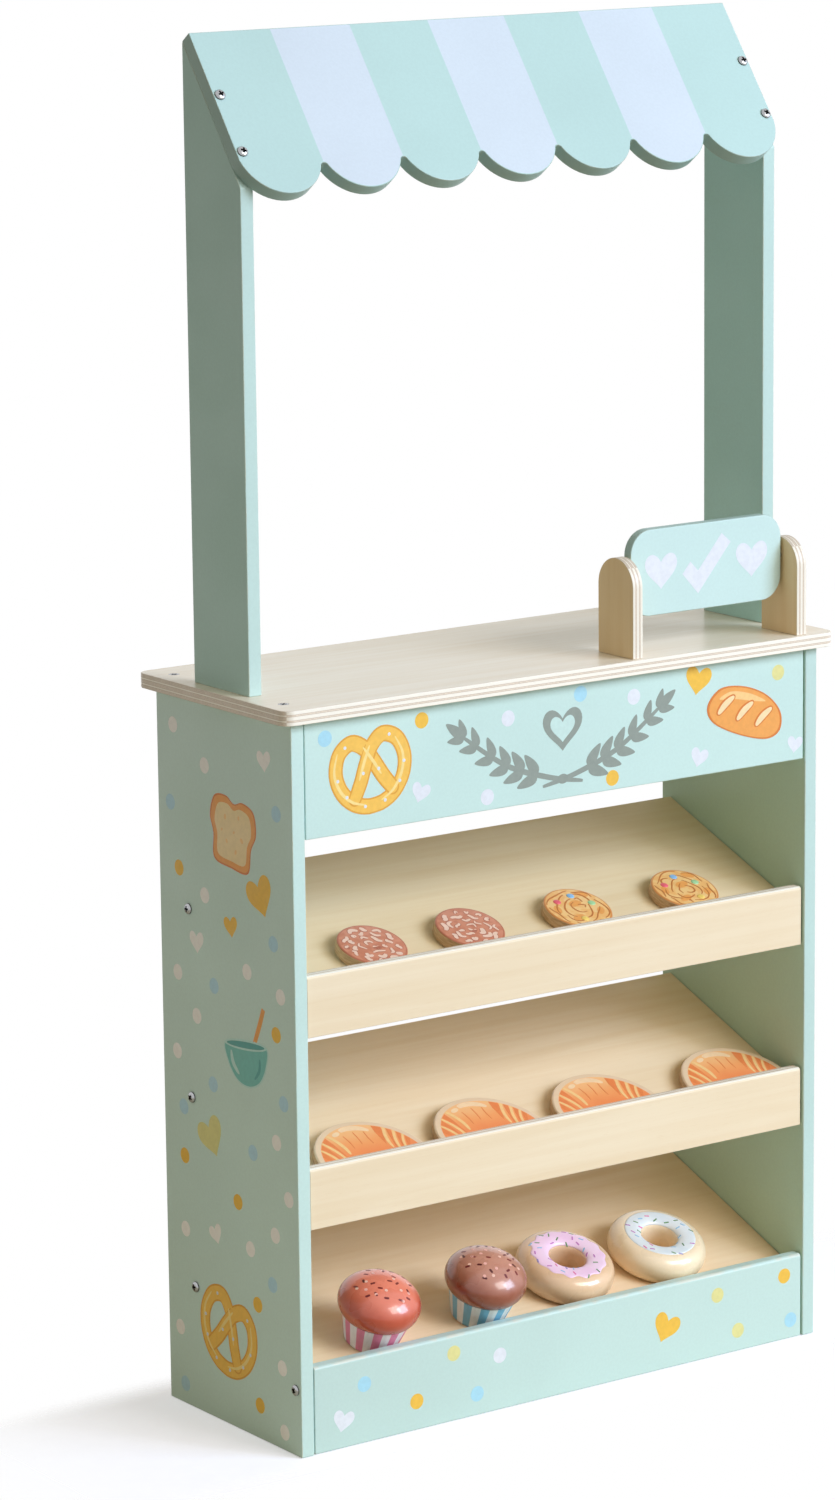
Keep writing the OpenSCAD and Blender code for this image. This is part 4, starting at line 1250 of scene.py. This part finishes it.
def wood_side(tree, bake, pale, dark):
    """Bare turned wood with its grain running round the side."""
    rings = noise(tree, bake, (140.0, 140.0, 900.0), 3.0)
    return blended(tree, swing(tree, rings, 0.0, 1.0), pale, dark)


def flat_radius(tree, bake):
    flat = product(tree, bake, (1, 1, 0))
    return put(tree, "ShaderNodeVectorMath", {0: flat}, operation="LENGTH").outputs["Value"]


def cookie_finish(name, dough, baked, rim):
    finish, tree, shader = new_finish(name, Coat_Weight=0.15, Coat_Roughness=0.2)
    bake = attribute(tree, "bake", "Vector")
    patches = noise(tree, bake, (110.0, 110.0, 0.0), 1.0, 0.5)
    colour = blended(tree, ramped(tree, patches, 0.42, 0.6), dough, baked)
    colour = blended(tree, ramped(tree, flat_radius(tree, bake), DOUGH_R * MM, (DOUGH_R + 0.4) * MM), colour, rim)
    side = wood_side(tree, bake, srgb(222, 188, 146), srgb(194, 154, 112))
    printed = ramped(tree, split(tree, bake)["Z"], (BAKE_H - 0.7) * MM, (BAKE_H - 0.5) * MM)
    dress(tree, shader, blended(tree, printed, side, colour), swing(tree, patches, 0.34, 0.46), patches, 0.04)
    return finish


COCOA_PRINT = cookie_finish("cocoa_cookie_print", *COCOA_COLOURS)
GOLDEN_PRINT = cookie_finish("golden_cookie_print", *GOLDEN_COLOURS)
print("cookie finishes:", COCOA_PRINT.name, GOLDEN_PRINT.name)

# %% [markdown]
# The cookies themselves. Each one draws its marks from its own seed, so all four differ and every run gives the same.

# %% Cookies
FULL_DRAW, COOKIE_SPIN, COOKIE_STEPS = 6.28, 47, 96
AMBER, AMBER_LINE = srgb(244, 170, 92), srgb(202, 122, 58)
COCOA_LINE, COCOA_MARK = srgb(186, 108, 84), srgb(247, 212, 194)
AMBER_PATCHES = [(1, 6, 13, 8, 15), (-19, 2, 11, 6, 80), (15, 17, 12, 6, -40)]
AMBER_PATCHES += [(17, -9, 11, 6, 60), (-8, -13, 13, 7, 20)]
CANDY_D, CANDY_STEPS = 6.8, 20
CANDY_PROFILE = [(0, -0.3), (0.46, -0.3), (0.5, 0.0), (0.47, 0.05), (0.38, 0.09), (0.2, 0.12), (0, 0.125)]
CANDY_INKS = (srgb(240, 104, 122), srgb(146, 196, 242), srgb(172, 222, 168), srgb(250, 216, 116))
CANDY_SPOTS = {3: ((-13, 12), (4, 17), (16, 3), (-4, -16)), 4: ((-15, 9), (1, 18), (15, 6), (6, -15))}


def rounded_profile(radius, height, ease, steps=5):
    """A flat disc's profile with rounded edges, from its underside to its top."""
    profile = [(0, 0)]
    for centre, start in ((ease, -90), (height - ease, 0)):
        for s in range(steps + 1):
            angle = math.radians(start + 90 * s / steps)
            profile.append((radius - ease + ease * math.cos(angle), centre + ease * math.sin(angle)))
    return in_mm(profile + [(0, height)])


def ring_strokes(draw, rings, widths, lengths, gaps, sway):
    """Paths and widths of strokes that lie in rings about the middle."""
    found = []
    for radius in rings:
        turn = draw.uniform(0, FULL_DRAW)
        stop = turn + TURN
        while turn < stop - gaps[0] / radius:
            length = min(draw.uniform(*lengths) / radius, stop - turn - gaps[0] / radius)
            phase, count = draw.uniform(0, FULL_DRAW), max(3, int(length * radius / 3.5))
            path = []
            for s in range(count + 1):
                angle = turn + length * s / count
                reach = radius + sway * math.sin(phase + 5.0 * s / count)
                path.append((reach * math.cos(angle), reach * math.sin(angle)))
            found.append((path, draw.uniform(*widths)))
            turn += length + draw.uniform(*gaps) / radius
    return found


def cocoa_layers(draw):
    marks = ring_strokes(draw, (4.5, 10.6, 16.6, 22.2), (1.8, 4.4), (2.5, 11), (3.2, 8.0), 1.6)
    dark = [(stroke(p, w + 1.3, (0.55, 0.55), 4), COCOA_LINE) for p, w in marks]
    return dark + [(stroke(p, w, (0.5, 0.5), 4), COCOA_MARK) for p, w in marks]


def golden_layers(draw):
    lines = ring_strokes(draw, (6.5, 13.0, 19.0, 24.5), (1.2, 1.7), (14, 34), (3.0, 6.0), 2.0)
    patches = [(oval(*patch), AMBER) for patch in AMBER_PATCHES]
    return patches + [(stroke(p, w, (0.4, 0.4), 4), AMBER_LINE) for p, w in lines]


candy = new_piece("candy_template", turned("candy", CANDY_PROFILE, CANDY_STEPS))
for i in range(1, 5):
    node, golden = f"cookie_{i}", i > 2
    place = shelf_place("top", node)
    add_face(node, place)
    mesh = turned(node, rounded_profile(COOKIE_R, BAKE_H, COOKIE_EASE), COOKIE_STEPS)
    cookie = new_piece(node + "_printed", mesh, GOLDEN_PRINT if golden else COCOA_PRINT)
    lay_down(cookie, place @ Matrix.Rotation(math.radians(COOKIE_SPIN * i), 4, "Z"))
    hand_over(cookie, node, "golden_cookie_print" if golden else "cocoa_cookie_print", node)
    print_motifs(node + "_marks", node, (golden_layers if golden else cocoa_layers)(random.Random(i)), node)
    if golden:
        aim, up = place.to_3x3() @ Z, place.to_3x3() @ Y
        spots = [
            (place @ Vector((x * MM, y * MM, BAKE_H * MM)), aim, up, CANDY_D * MM, ink)
            for (x, y), ink in zip(CANDY_SPOTS[i], CANDY_INKS)
        ]
        hand_over(set_out(node + "_candies", candy, PRINT_INK, spots), node)
bpy.data.objects.remove(candy)

# %% [markdown]
# Croissants are sawn from board in a half moon, with a bare rim round the print. The finish gives the dough, deeper in
# colour towards its lower edge. The folds fan out from a point below the middle: wedges in a deeper tone with a light
# line between them, and a shine along the top.

# %% Croissants
PRINT_R, FAN_DROP, FAN_LEVEL, FAN_SHARE, CROISSANT_EASE = 45.4, 80.0, 20.0, 0.985, 1.8 * MM
DOUGH_STOPS = [(0.0, srgb(252, 148, 90)), (0.45, srgb(255, 172, 108)), (1.0, srgb(255, 200, 140))]
FOLD_DEEP, FOLD_LIGHT, SHINE = srgb(243, 140, 80), srgb(255, 212, 148), srgb(255, 222, 182)
FOLDS = [(-46, -40.5, 4), (-37.5, -32, 5), (-29, -23.5, 8), (16.5, 23, 14), (26.5, 30, 7), (33.5, 37, 5), (40, 44, 3)]
FOLD_LINES = [(-39, 3, 1.0, 2.8), (-30.5, 4, 1.4, 3.0), (-20.5, 10, 2.0, 3.6)]
FOLD_LINES += [(24.8, 8, -1.6, 3.0), (31.8, 4, -1.2, 2.8), (38.5, 3, -1.0, 2.4)]
FOLD_CREASES = [(-11, 16, 1.5), (-1, 20, 1.0), (9, 18, -1.0)]
SHINE_PATH = [(104, 41.8), (96, 42.2), (86, 41.6), (76, 40.0), (67, 37.5)]


def croissant_finish():
    finish, tree, shader = new_finish("croissant_print", Coat_Weight=0.2, Coat_Roughness=0.2)
    bake = attribute(tree, "bake", "Vector")
    xyz = split(tree, bake)
    wobble = noise(tree, bake, (60.0, 60.0, 0.0))
    uneven = maths(tree, "MULTIPLY_ADD", wobble, 14 * MM, xyz["Y"])
    colour = colour_stops(tree, ramped(tree, uneven, 10 * MM, 52 * MM), DOUGH_STOPS)
    inside = ramped(tree, flat_radius(tree, bake), (PRINT_R - 0.3) * MM, (PRINT_R + 0.3) * MM, 1.0, 0.0)
    inside = maths(tree, "MULTIPLY", inside, ramped(tree, xyz["Z"], 9.6 * MM, 9.8 * MM))
    grain = grouped(tree, BIRCH_VENEER, Board=bake, Pale=srgb(243, 218, 188), Dark=srgb(230, 200, 166))
    side = wood_side(tree, bake, srgb(206, 168, 128), srgb(176, 136, 98))
    rim = blended(tree, ramped(tree, xyz["Z"], 8.2 * MM, 9.2 * MM), side, grain["Color"])
    dress(tree, shader, blended(tree, inside, rim, colour), swing(tree, wobble, 0.32, 0.42), wobble, 0.03)
    return finish


def on_circle(radius, degrees):
    return radius * math.cos(math.radians(degrees)), radius * math.sin(math.radians(degrees))


def fan_line(across, low, bow=0.0):
    """A line of the fan through a point across the print, from the print's edge down to a height, bowed midway."""
    lean = across / (FAN_LEVEL + FAN_DROP)
    a, b, c = 1 + lean**2, lean**2 * FAN_DROP, (lean * FAN_DROP) ** 2 - PRINT_R**2
    top = FAN_SHARE * (math.sqrt(b * b - a * c) - b) / a
    heights = [top, (2 * top + low) / 3, (top + 2 * low) / 3, low]
    return [(lean * (y + FAN_DROP) + side, y) for y, side in zip(heights, (0, bow, bow, 0))]


def fold(left, right, low):
    """A wedge between two lines of the fan, pointed at its low end and rounded along the edge of the print."""
    a, b = fan_line(left, low), fan_line(right, low)
    start, stop = (math.degrees(math.atan2(line[0][1], line[0][0])) for line in (a, b))
    rim = [on_circle(FAN_SHARE * PRINT_R, start + (stop - start) * s / 5) for s in range(1, 5)]
    return [a[1], a[0]] + rim + [b[0], b[1], ((a[3][0] + b[3][0]) / 2, low)]


def croissant_layers():
    layers = [(fold(*wedge), FOLD_DEEP) for wedge in FOLDS]
    layers += [(stroke(fan_line(*line), width, (0.7, 0.3)), FOLD_LIGHT) for *line, width in FOLD_LINES]
    layers += [(stroke(fan_line(*crease)[1:], 0.9, (0.4, 0.2)), FOLD_DEEP) for crease in FOLD_CREASES]
    shine = stroke([on_circle(radius, degrees) for degrees, radius in SHINE_PATH], 6.0, (0.5, 0.25))
    return layers + [(shine, SHINE), (oval(-15.5, 37.5, 8.5, 4.6, 24), SHINE)]


CROISSANT_PRINT = croissant_finish()
for i in range(1, 5):
    node = f"croissant_{i}"
    place = shelf_place("middle", node, by_edge=True)
    add_face(node, place)
    croissant = eased_copy(node, node + "_printed", CROISSANT_PRINT, CROISSANT_EASE, 4)
    croissant.data.transform(place.inverted())
    hand_over(lay_down(croissant, place), node, "croissant_print", node)
    print_motifs(node + "_folds", node, croissant_layers(), node)
    print(node, len(croissant.data.polygons), "faces")

# %% [markdown]
# Sprinkles lie at random on icing and on muffin tops. A second Geometry Nodes tree scatters points on a surface with a
# fixed seed and a least distance, turns a small grain at each one about the surface's normal, and stores a random tint
# that the sprinkle finish turns into one of its colours.

# %% Geometry Nodes: scatter sprinkles
TINT_SEED, GRAIN_SINK, GRAIN_STEPS = 7, 0.25, 6


def scatter_tree():
    inputs = {"Surface": "Geometry", "Grain": "Object", "Spacing": "Float", "Density": "Float", "Seed": "Int"}
    inputs |= {"Finish": "Material"}
    tree, given, result = node_group("scatter_sprinkles", "GeometryNodeTree", inputs, {"Geometry": "Geometry"})
    feeds = {"Mesh": given["Surface"], "Distance Min": given["Spacing"], "Density Max": given["Density"]}
    feeds |= {"Seed": given["Seed"]}
    spread = put(tree, "GeometryNodeDistributePointsOnFaces", feeds, distribute_method="POISSON")
    turn = put(tree, "FunctionNodeRandomValue", {2: 0.0, 3: math.pi, "Seed": given["Seed"]}, data_type="FLOAT")
    about = put(tree, "FunctionNodeAxisAngleToRotation", {0: Z, 1: turn.outputs[1]})
    facing = put(tree, "FunctionNodeAlignRotationToVector", {"Vector": spread.outputs["Normal"]}, axis="Z")
    feeds = {0: facing.outputs[0], 1: about.outputs[0]}
    lying = put(tree, "FunctionNodeRotateRotation", feeds, rotation_space="LOCAL")
    tint = put(tree, "FunctionNodeRandomValue", {2: 0.0, 3: 1.0, "Seed": TINT_SEED}, data_type="FLOAT")
    feeds = {"Geometry": spread.outputs["Points"], "Name": "tint", "Value": tint.outputs[1]}
    points = put(tree, "GeometryNodeStoreNamedAttribute", feeds, data_type="FLOAT", domain="POINT")
    feeds = {"Points": points.outputs[0], "Rotation": lying.outputs[0]}
    return copies_on(tree, given, result, given["Grain"], feeds)


SCATTER = scatter_tree()
print("node tree:", SCATTER.name)


def sprinkle_finish(name, *colours):
    finish, tree, shader = new_finish(name, Roughness=0.35)
    stops = [(i * (1 / len(colours)), colour) for i, colour in enumerate(colours)]
    colour = colour_stops(tree, attribute(tree, "tint"), stops, "CONSTANT")
    dress(tree, shader, toned(tree, colour, swing(tree, noise(tree, object_place(tree), 500.0), 0.94, 1.04)))
    return finish


def grain_template(name, length, width, lift):
    """A flat printed dash with round ends, lying along X."""
    outline = []
    for end, start in ((1, -90), (-1, 90)):
        for s in range(GRAIN_STEPS + 1):
            x, y = on_circle(width / 2, start + 180 * s / GRAIN_STEPS)
            outline.append(((end * (length - width) / 2 + x) * MM, y * MM))
    return flat_template(name, outline, -GRAIN_SINK * MM, lift * MM)


def trimmed(mesh, context, lost_of):
    """A copy of a mesh without the points or faces that are picked out."""
    shape = opened(mesh)
    bmesh.ops.delete(shape, geom=lost_of(shape), context=context)
    return closed(shape, bpy.data.meshes.new("trimmed"))


def scattered(name, surface, grain, spacing, density, seed, finish, body):
    """Scatters a grain over a copy of a surface mesh and hands the result to a body."""
    piece = new_piece(name, surface.copy())
    inputs = {"Grain": grain, "Spacing": spacing * MM, "Density": density, "Seed": seed, "Finish": finish}
    run_nodes(piece, SCATTER, inputs)
    print(name, len(piece.data.polygons), "faces")
    return hand_over(piece, body)


# %% [markdown]
# Muffins: a turned, glossy dome on a striped cup. The dome is a squashed ball with a bore in its flat underside, and
# the cup flares upwards and ends in a spigot that plugs into the bore. The dome's colour grows lighter towards its
# crown as painted sheen, and dark dashes and pale dots are scattered on the crown.

# %% Muffins
MUFFIN_R, CROWN, CUP_H, CUP_LOW_R, CUP_TOP_R, LATHE_STEPS = 34.3, 21.3, 24.5, 22.5, 28.5, 96
SPIGOT_R, SPIGOT_TOP, STRIPE_PAIRS, PATCH_R, MUFFIN_SHARP = 8.0, CUP_H + 14.0, 12.0, 25.0, math.radians(50)
CROWN_START, CROWN_STEPS, CUP_STEPS, CUP_EASE = -math.acos(CUP_TOP_R / MUFFIN_R), 32, 6, 0.8
MUFFIN_MID = CUP_H - CROWN * math.sin(CROWN_START)
CUP_BASE = srgb(206, 170, 126)


def gloss_finish(name, upper_colour, deep, low, high):
    """Glossy sprayed paint on turned wood: deeper in tone below one height, lighter above the other, clouded between.
    On the muffin domes the lighter crown is painted sheen.
    """
    finish, tree, shader = new_finish(name, Coat_Weight=0.7, Coat_Roughness=0.10)
    bake = attribute(tree, "bake", "Vector")
    cloud = noise(tree, bake, (45.0, 45.0, 45.0))
    height = ramped(tree, split(tree, bake)["Z"], low * MM, high * MM)
    share = maths(tree, "ADD", swing(tree, cloud, -0.12, 0.12), height)
    skin = grouped(tree, SPRAYED_PAINT, Position=bake, Paint=blended(tree, share, deep, upper_colour))
    dress(tree, shader, skin["Color"], swing(tree, cloud, 0.24, 0.34), skin["Height"], 0.03)
    return finish


def cup_finish(name, stripe, pale):
    finish, tree, shader = new_finish(name, Coat_Weight=0.15, Coat_Roughness=0.2)
    bake = attribute(tree, "bake", "Vector")
    xyz = split(tree, bake)
    share = maths(tree, "DIVIDE", maths(tree, "ARCTAN2", xyz["Y"], xyz["X"]), TURN / STRIPE_PAIRS)
    wave = maths(tree, "ABSOLUTE", maths(tree, "SUBTRACT", maths(tree, "FRACT", share), 0.5))
    pulp = noise(tree, bake, (300.0, 300.0, 60.0), 3.0)
    inked = ramped(tree, maths(tree, "MULTIPLY_ADD", pulp, 0.02, wave), 0.255, 0.27)
    colour = toned(tree, blended(tree, inked, pale, stripe), swing(tree, pulp, 0.93, 1.04))
    colour = blended(tree, ramped(tree, xyz["Z"], 0.2 * MM, 0.5 * MM, 1.0, 0.0), colour, CUP_BASE)
    dress(tree, shader, colour, swing(tree, pulp, 0.38, 0.5), pulp, 0.04)
    return finish


def dome_profile():
    bore_r, bore_top = SPIGOT_R + 0.1, SPIGOT_TOP + 1
    profile = [(0, bore_top), (bore_r, bore_top), (bore_r, CUP_H)]
    profile += [(CUP_TOP_R - 1.5, CUP_H), (CUP_TOP_R - 0.5, CUP_H + 0.15)]
    for s in range(1, CROWN_STEPS):
        angle = CROWN_START + (math.pi / 2 - CROWN_START) * s / CROWN_STEPS
        profile.append((MUFFIN_R * math.cos(angle), MUFFIN_MID + CROWN * math.sin(angle)))
    return in_mm(profile + [(0, MUFFIN_MID + CROWN)])


def cup_profile():
    profile = [(0, 0), (CUP_LOW_R - CUP_EASE, 0), (CUP_LOW_R - 0.25, 0.25), (CUP_LOW_R, CUP_EASE)]
    for s in range(1, CUP_STEPS + 1):
        reach = CUP_LOW_R + (CUP_TOP_R - CUP_LOW_R) * s / CUP_STEPS
        profile.append((reach, CUP_EASE + (CUP_H - CUP_EASE) * s / CUP_STEPS))
    profile += [(SPIGOT_R, CUP_H), (SPIGOT_R, SPIGOT_TOP - 0.5), (SPIGOT_R - 0.5, SPIGOT_TOP), (0, SPIGOT_TOP)]
    return in_mm(profile)


def off_crown(shape):
    """The points of a laid-down dome that lie below its middle or too far from its axis for sprinkles."""
    bake = shape.verts.layers.float_vector["bake"]
    flat = [(v, v[bake]) for v in shape.verts]
    return [v for v, p in flat if math.hypot(p.x, p.y) > PATCH_R * MM or p.z < MUFFIN_MID * MM]


# Painted sheen: each dome's first colour is its lighter crown, the second its deeper lower part.
MUFFINS = {
    1: (("red_muffin_paint", srgb(248, 142, 118), srgb(194, 75, 47)),
        ("pink_cup_print", srgb(232, 132, 168), srgb(246, 234, 240))),
    2: (("brown_muffin_paint", srgb(210, 150, 131), srgb(147, 74, 52)),
        ("blue_cup_print", srgb(124, 192, 226), srgb(234, 243, 247))),
}
DASH_FINISH = sprinkle_finish("crown_dashes", srgb(112, 28, 34), srgb(86, 26, 30), srgb(128, 40, 40))
DOT_FINISH = sprinkle_finish("crown_dots", srgb(247, 190, 180), srgb(250, 206, 190))
dash, dot = grain_template("dash_template", 4.2, 1.9, 0.10), grain_template("dot_template", 2.8, 2.79, 0.10)
for i, (top_look, cup_look) in MUFFINS.items():
    body = f"muffin_{i}"
    place = shelf_place("bottom", f"muffin_cup_{i}")
    top_finish = gloss_finish(*top_look, MUFFIN_MID + 2, MUFFIN_MID + CROWN + 2)
    top = new_piece(f"muffin_top_{i}_turned", turned("dome", dome_profile(), LATHE_STEPS), top_finish)
    cup = new_piece(f"muffin_cup_{i}_turned", turned("cup", cup_profile(), LATHE_STEPS), cup_finish(*cup_look))
    for piece, look, node in ((top, top_look, f"muffin_top_{i}"), (cup, cup_look, f"muffin_cup_{i}")):
        piece.data.set_sharp_from_angle(angle=MUFFIN_SHARP)
        hand_over(lay_down(piece, place), body, look[0], node)
    crown = trimmed(top.data, "VERTS", off_crown)
    scattered(f"muffin_top_{i}_dashes", crown, dash, 6.2, 22000, 11 + i, DASH_FINISH, body)
    scattered(f"muffin_top_{i}_dots", crown, dot, 7.0, 14000, 31 + i, DOT_FINISH, body)
bpy.data.objects.remove(dash)
bpy.data.objects.remove(dot)

# %% [markdown]
# Donuts are turned rings with an oval section. The icing is a thin coat that follows the top of the ring from the hole
# to its outer line, which waves on the pink one and runs smooth on the white one. Sprinkles lie on the icing.

# %% Donuts
RING_MID, RING_W, RING_H, RING_FLAT, RING_STEPS, SECTION_STEPS = 28.0, 14.0, 13.9, 0.8, 120, 72
HOLE_SQUARENESS, RIM_SQUARENESS = 3.4, 2.2
ICING_LIFT, ICING_SINK, ICING_INNER, ICING_TURNS, ICING_ROWS, ICING_RIM = 0.25, -0.15, 16.0, 168, 14, 1.5
STEEP = 0.55


def squareness(reach):
    """How square the section's oval is: more so on the side of the hole than on the outside."""
    return HOLE_SQUARENESS if reach < 0 else RIM_SQUARENESS


def section_point(angle):
    """A point on the ring's section, a squarish oval: its distance from the section's middle, and its height."""
    c, s = math.cos(angle), math.sin(angle)
    power = 2 / squareness(c)
    rise = math.copysign(abs(s) ** power, s) * RING_H
    return math.copysign(abs(c) ** power, c) * RING_W, max(0.0, RING_H - RING_FLAT + rise)


def ring_point(section, turn, lift=0.0):
    """A point on the ring's skin, by its angle in the section and its turn about the axis."""
    reach, height = section_point(section)
    power = squareness(reach) - 1
    across = math.copysign(abs(reach / RING_W) ** power / RING_W, reach)
    upward = abs((height - RING_H + RING_FLAT) / RING_H) ** power / RING_H + 1e-9
    push = Vector((across, upward)).normalized() * lift
    radius = RING_MID + reach + push.x
    return Vector((radius * math.cos(turn), radius * math.sin(turn), height + push.y)) * MM


def ring_profile():
    corners = [section_point(TURN * s / SECTION_STEPS) for s in range(SECTION_STEPS)]
    return in_mm([(RING_MID + reach, height) for reach, height in corners])


def section_angle(reach):
    """The angle in the upper half of the section at a distance from its middle."""
    share = max(-1.0, min(1.0, reach / RING_W))
    return math.acos(math.copysign(abs(share) ** (squareness(share) / 2), share))


def icing_mesh(name, outer, wave, lobes):
    """A closed thin coat on the ring between the hole and an outer line that may wave."""
    points, faces, count = [], [], ICING_ROWS + 1
    start = section_angle(ICING_INNER - RING_MID)
    for lift in (ICING_LIFT, ICING_SINK):
        for t in range(ICING_TURNS):
            turn = TURN * t / ICING_TURNS
            reach = outer + wave * math.sin(lobes * turn) * (1 + 0.35 * math.sin(3 * turn + 1))
            edge = section_angle(reach - RING_MID)
            for r in range(count):
                section = start + (edge - start) * r / ICING_ROWS
                rim = min(1.0, min(r, ICING_ROWS - r) / ICING_RIM)
                points.append(ring_point(section, turn, lift * rim if lift > 0 else lift))
    layer = ICING_TURNS * count
    for t in range(ICING_TURNS):
        a, b = t * count, (t + 1) % ICING_TURNS * count
        for r in range(ICING_ROWS):
            faces.append([a + r, b + r, b + r + 1, a + r + 1])
            faces.append([layer + a + r, layer + a + r + 1, layer + b + r + 1, layer + b + r])
        for r in (0, ICING_ROWS):
            faces.append([a + r, b + r, layer + b + r, layer + a + r])
    return closed_mesh(name, points, faces)


def icing_finish(name, colour, shade):
    finish, tree, shader = new_finish(name, Coat_Weight=0.3, Coat_Roughness=0.15)
    bake = attribute(tree, "bake", "Vector")
    cloud = noise(tree, bake, (60.0, 60.0, 60.0))
    mixed = blended(tree, ramped(tree, cloud, 0.35, 0.65), colour, shade)
    dress(tree, shader, mixed, swing(tree, cloud, 0.3, 0.4), noise(tree, bake, 700.0), 0.03)
    return finish


SPRINKLES = [srgb(92, 140, 92), srgb(196, 120, 200), srgb(232, 110, 176)]
SPRINKLES += [srgb(150, 200, 236), srgb(160, 150, 215), srgb(110, 158, 106)]
SPRINKLE_FINISH = sprinkle_finish("sprinkle_print", *SPRINKLES)
DONUTS = {
    1: (("caramel_donut_paint", srgb(240, 204, 168), srgb(228, 191, 154)),
        (srgb(255, 226, 253), srgb(253, 216, 250)), (32.0, 1.0, 14)),
    2: (("cream_donut_paint", srgb(255, 234, 202), srgb(253, 226, 188)),
        (srgb(240, 247, 253), srgb(230, 241, 250)), (30.6, 0.0, 12)),
}
grain = grain_template("sprinkle_template", 4.4, 1.15, 0.14)
for i, (look, icing, line) in DONUTS.items():
    node = f"donut_{i}"
    place = shelf_place("bottom", node)
    mesh = turned("ring", ring_profile(), RING_STEPS, ring=True)
    ring = new_piece(node + "_turned", mesh, gloss_finish(*look, 0, 2 * RING_H))
    hand_over(lay_down(ring, place), node, look[0], node)
    coat = new_piece(node + "_icing", icing_mesh("icing", *line), icing_finish(node + "_icing", *icing))
    hand_over(lay_down(coat, place), node)
    upward = place.to_3x3() @ Z
    surface = trimmed(coat.data, "FACES", lambda shape: [f for f in shape.faces if f.normal.dot(upward) < STEEP])
    scattered(node + "_sprinkles", surface, grain, 6.0, 16000, 3 + i, SPRINKLE_FINISH, node)
bpy.data.objects.remove(grain)
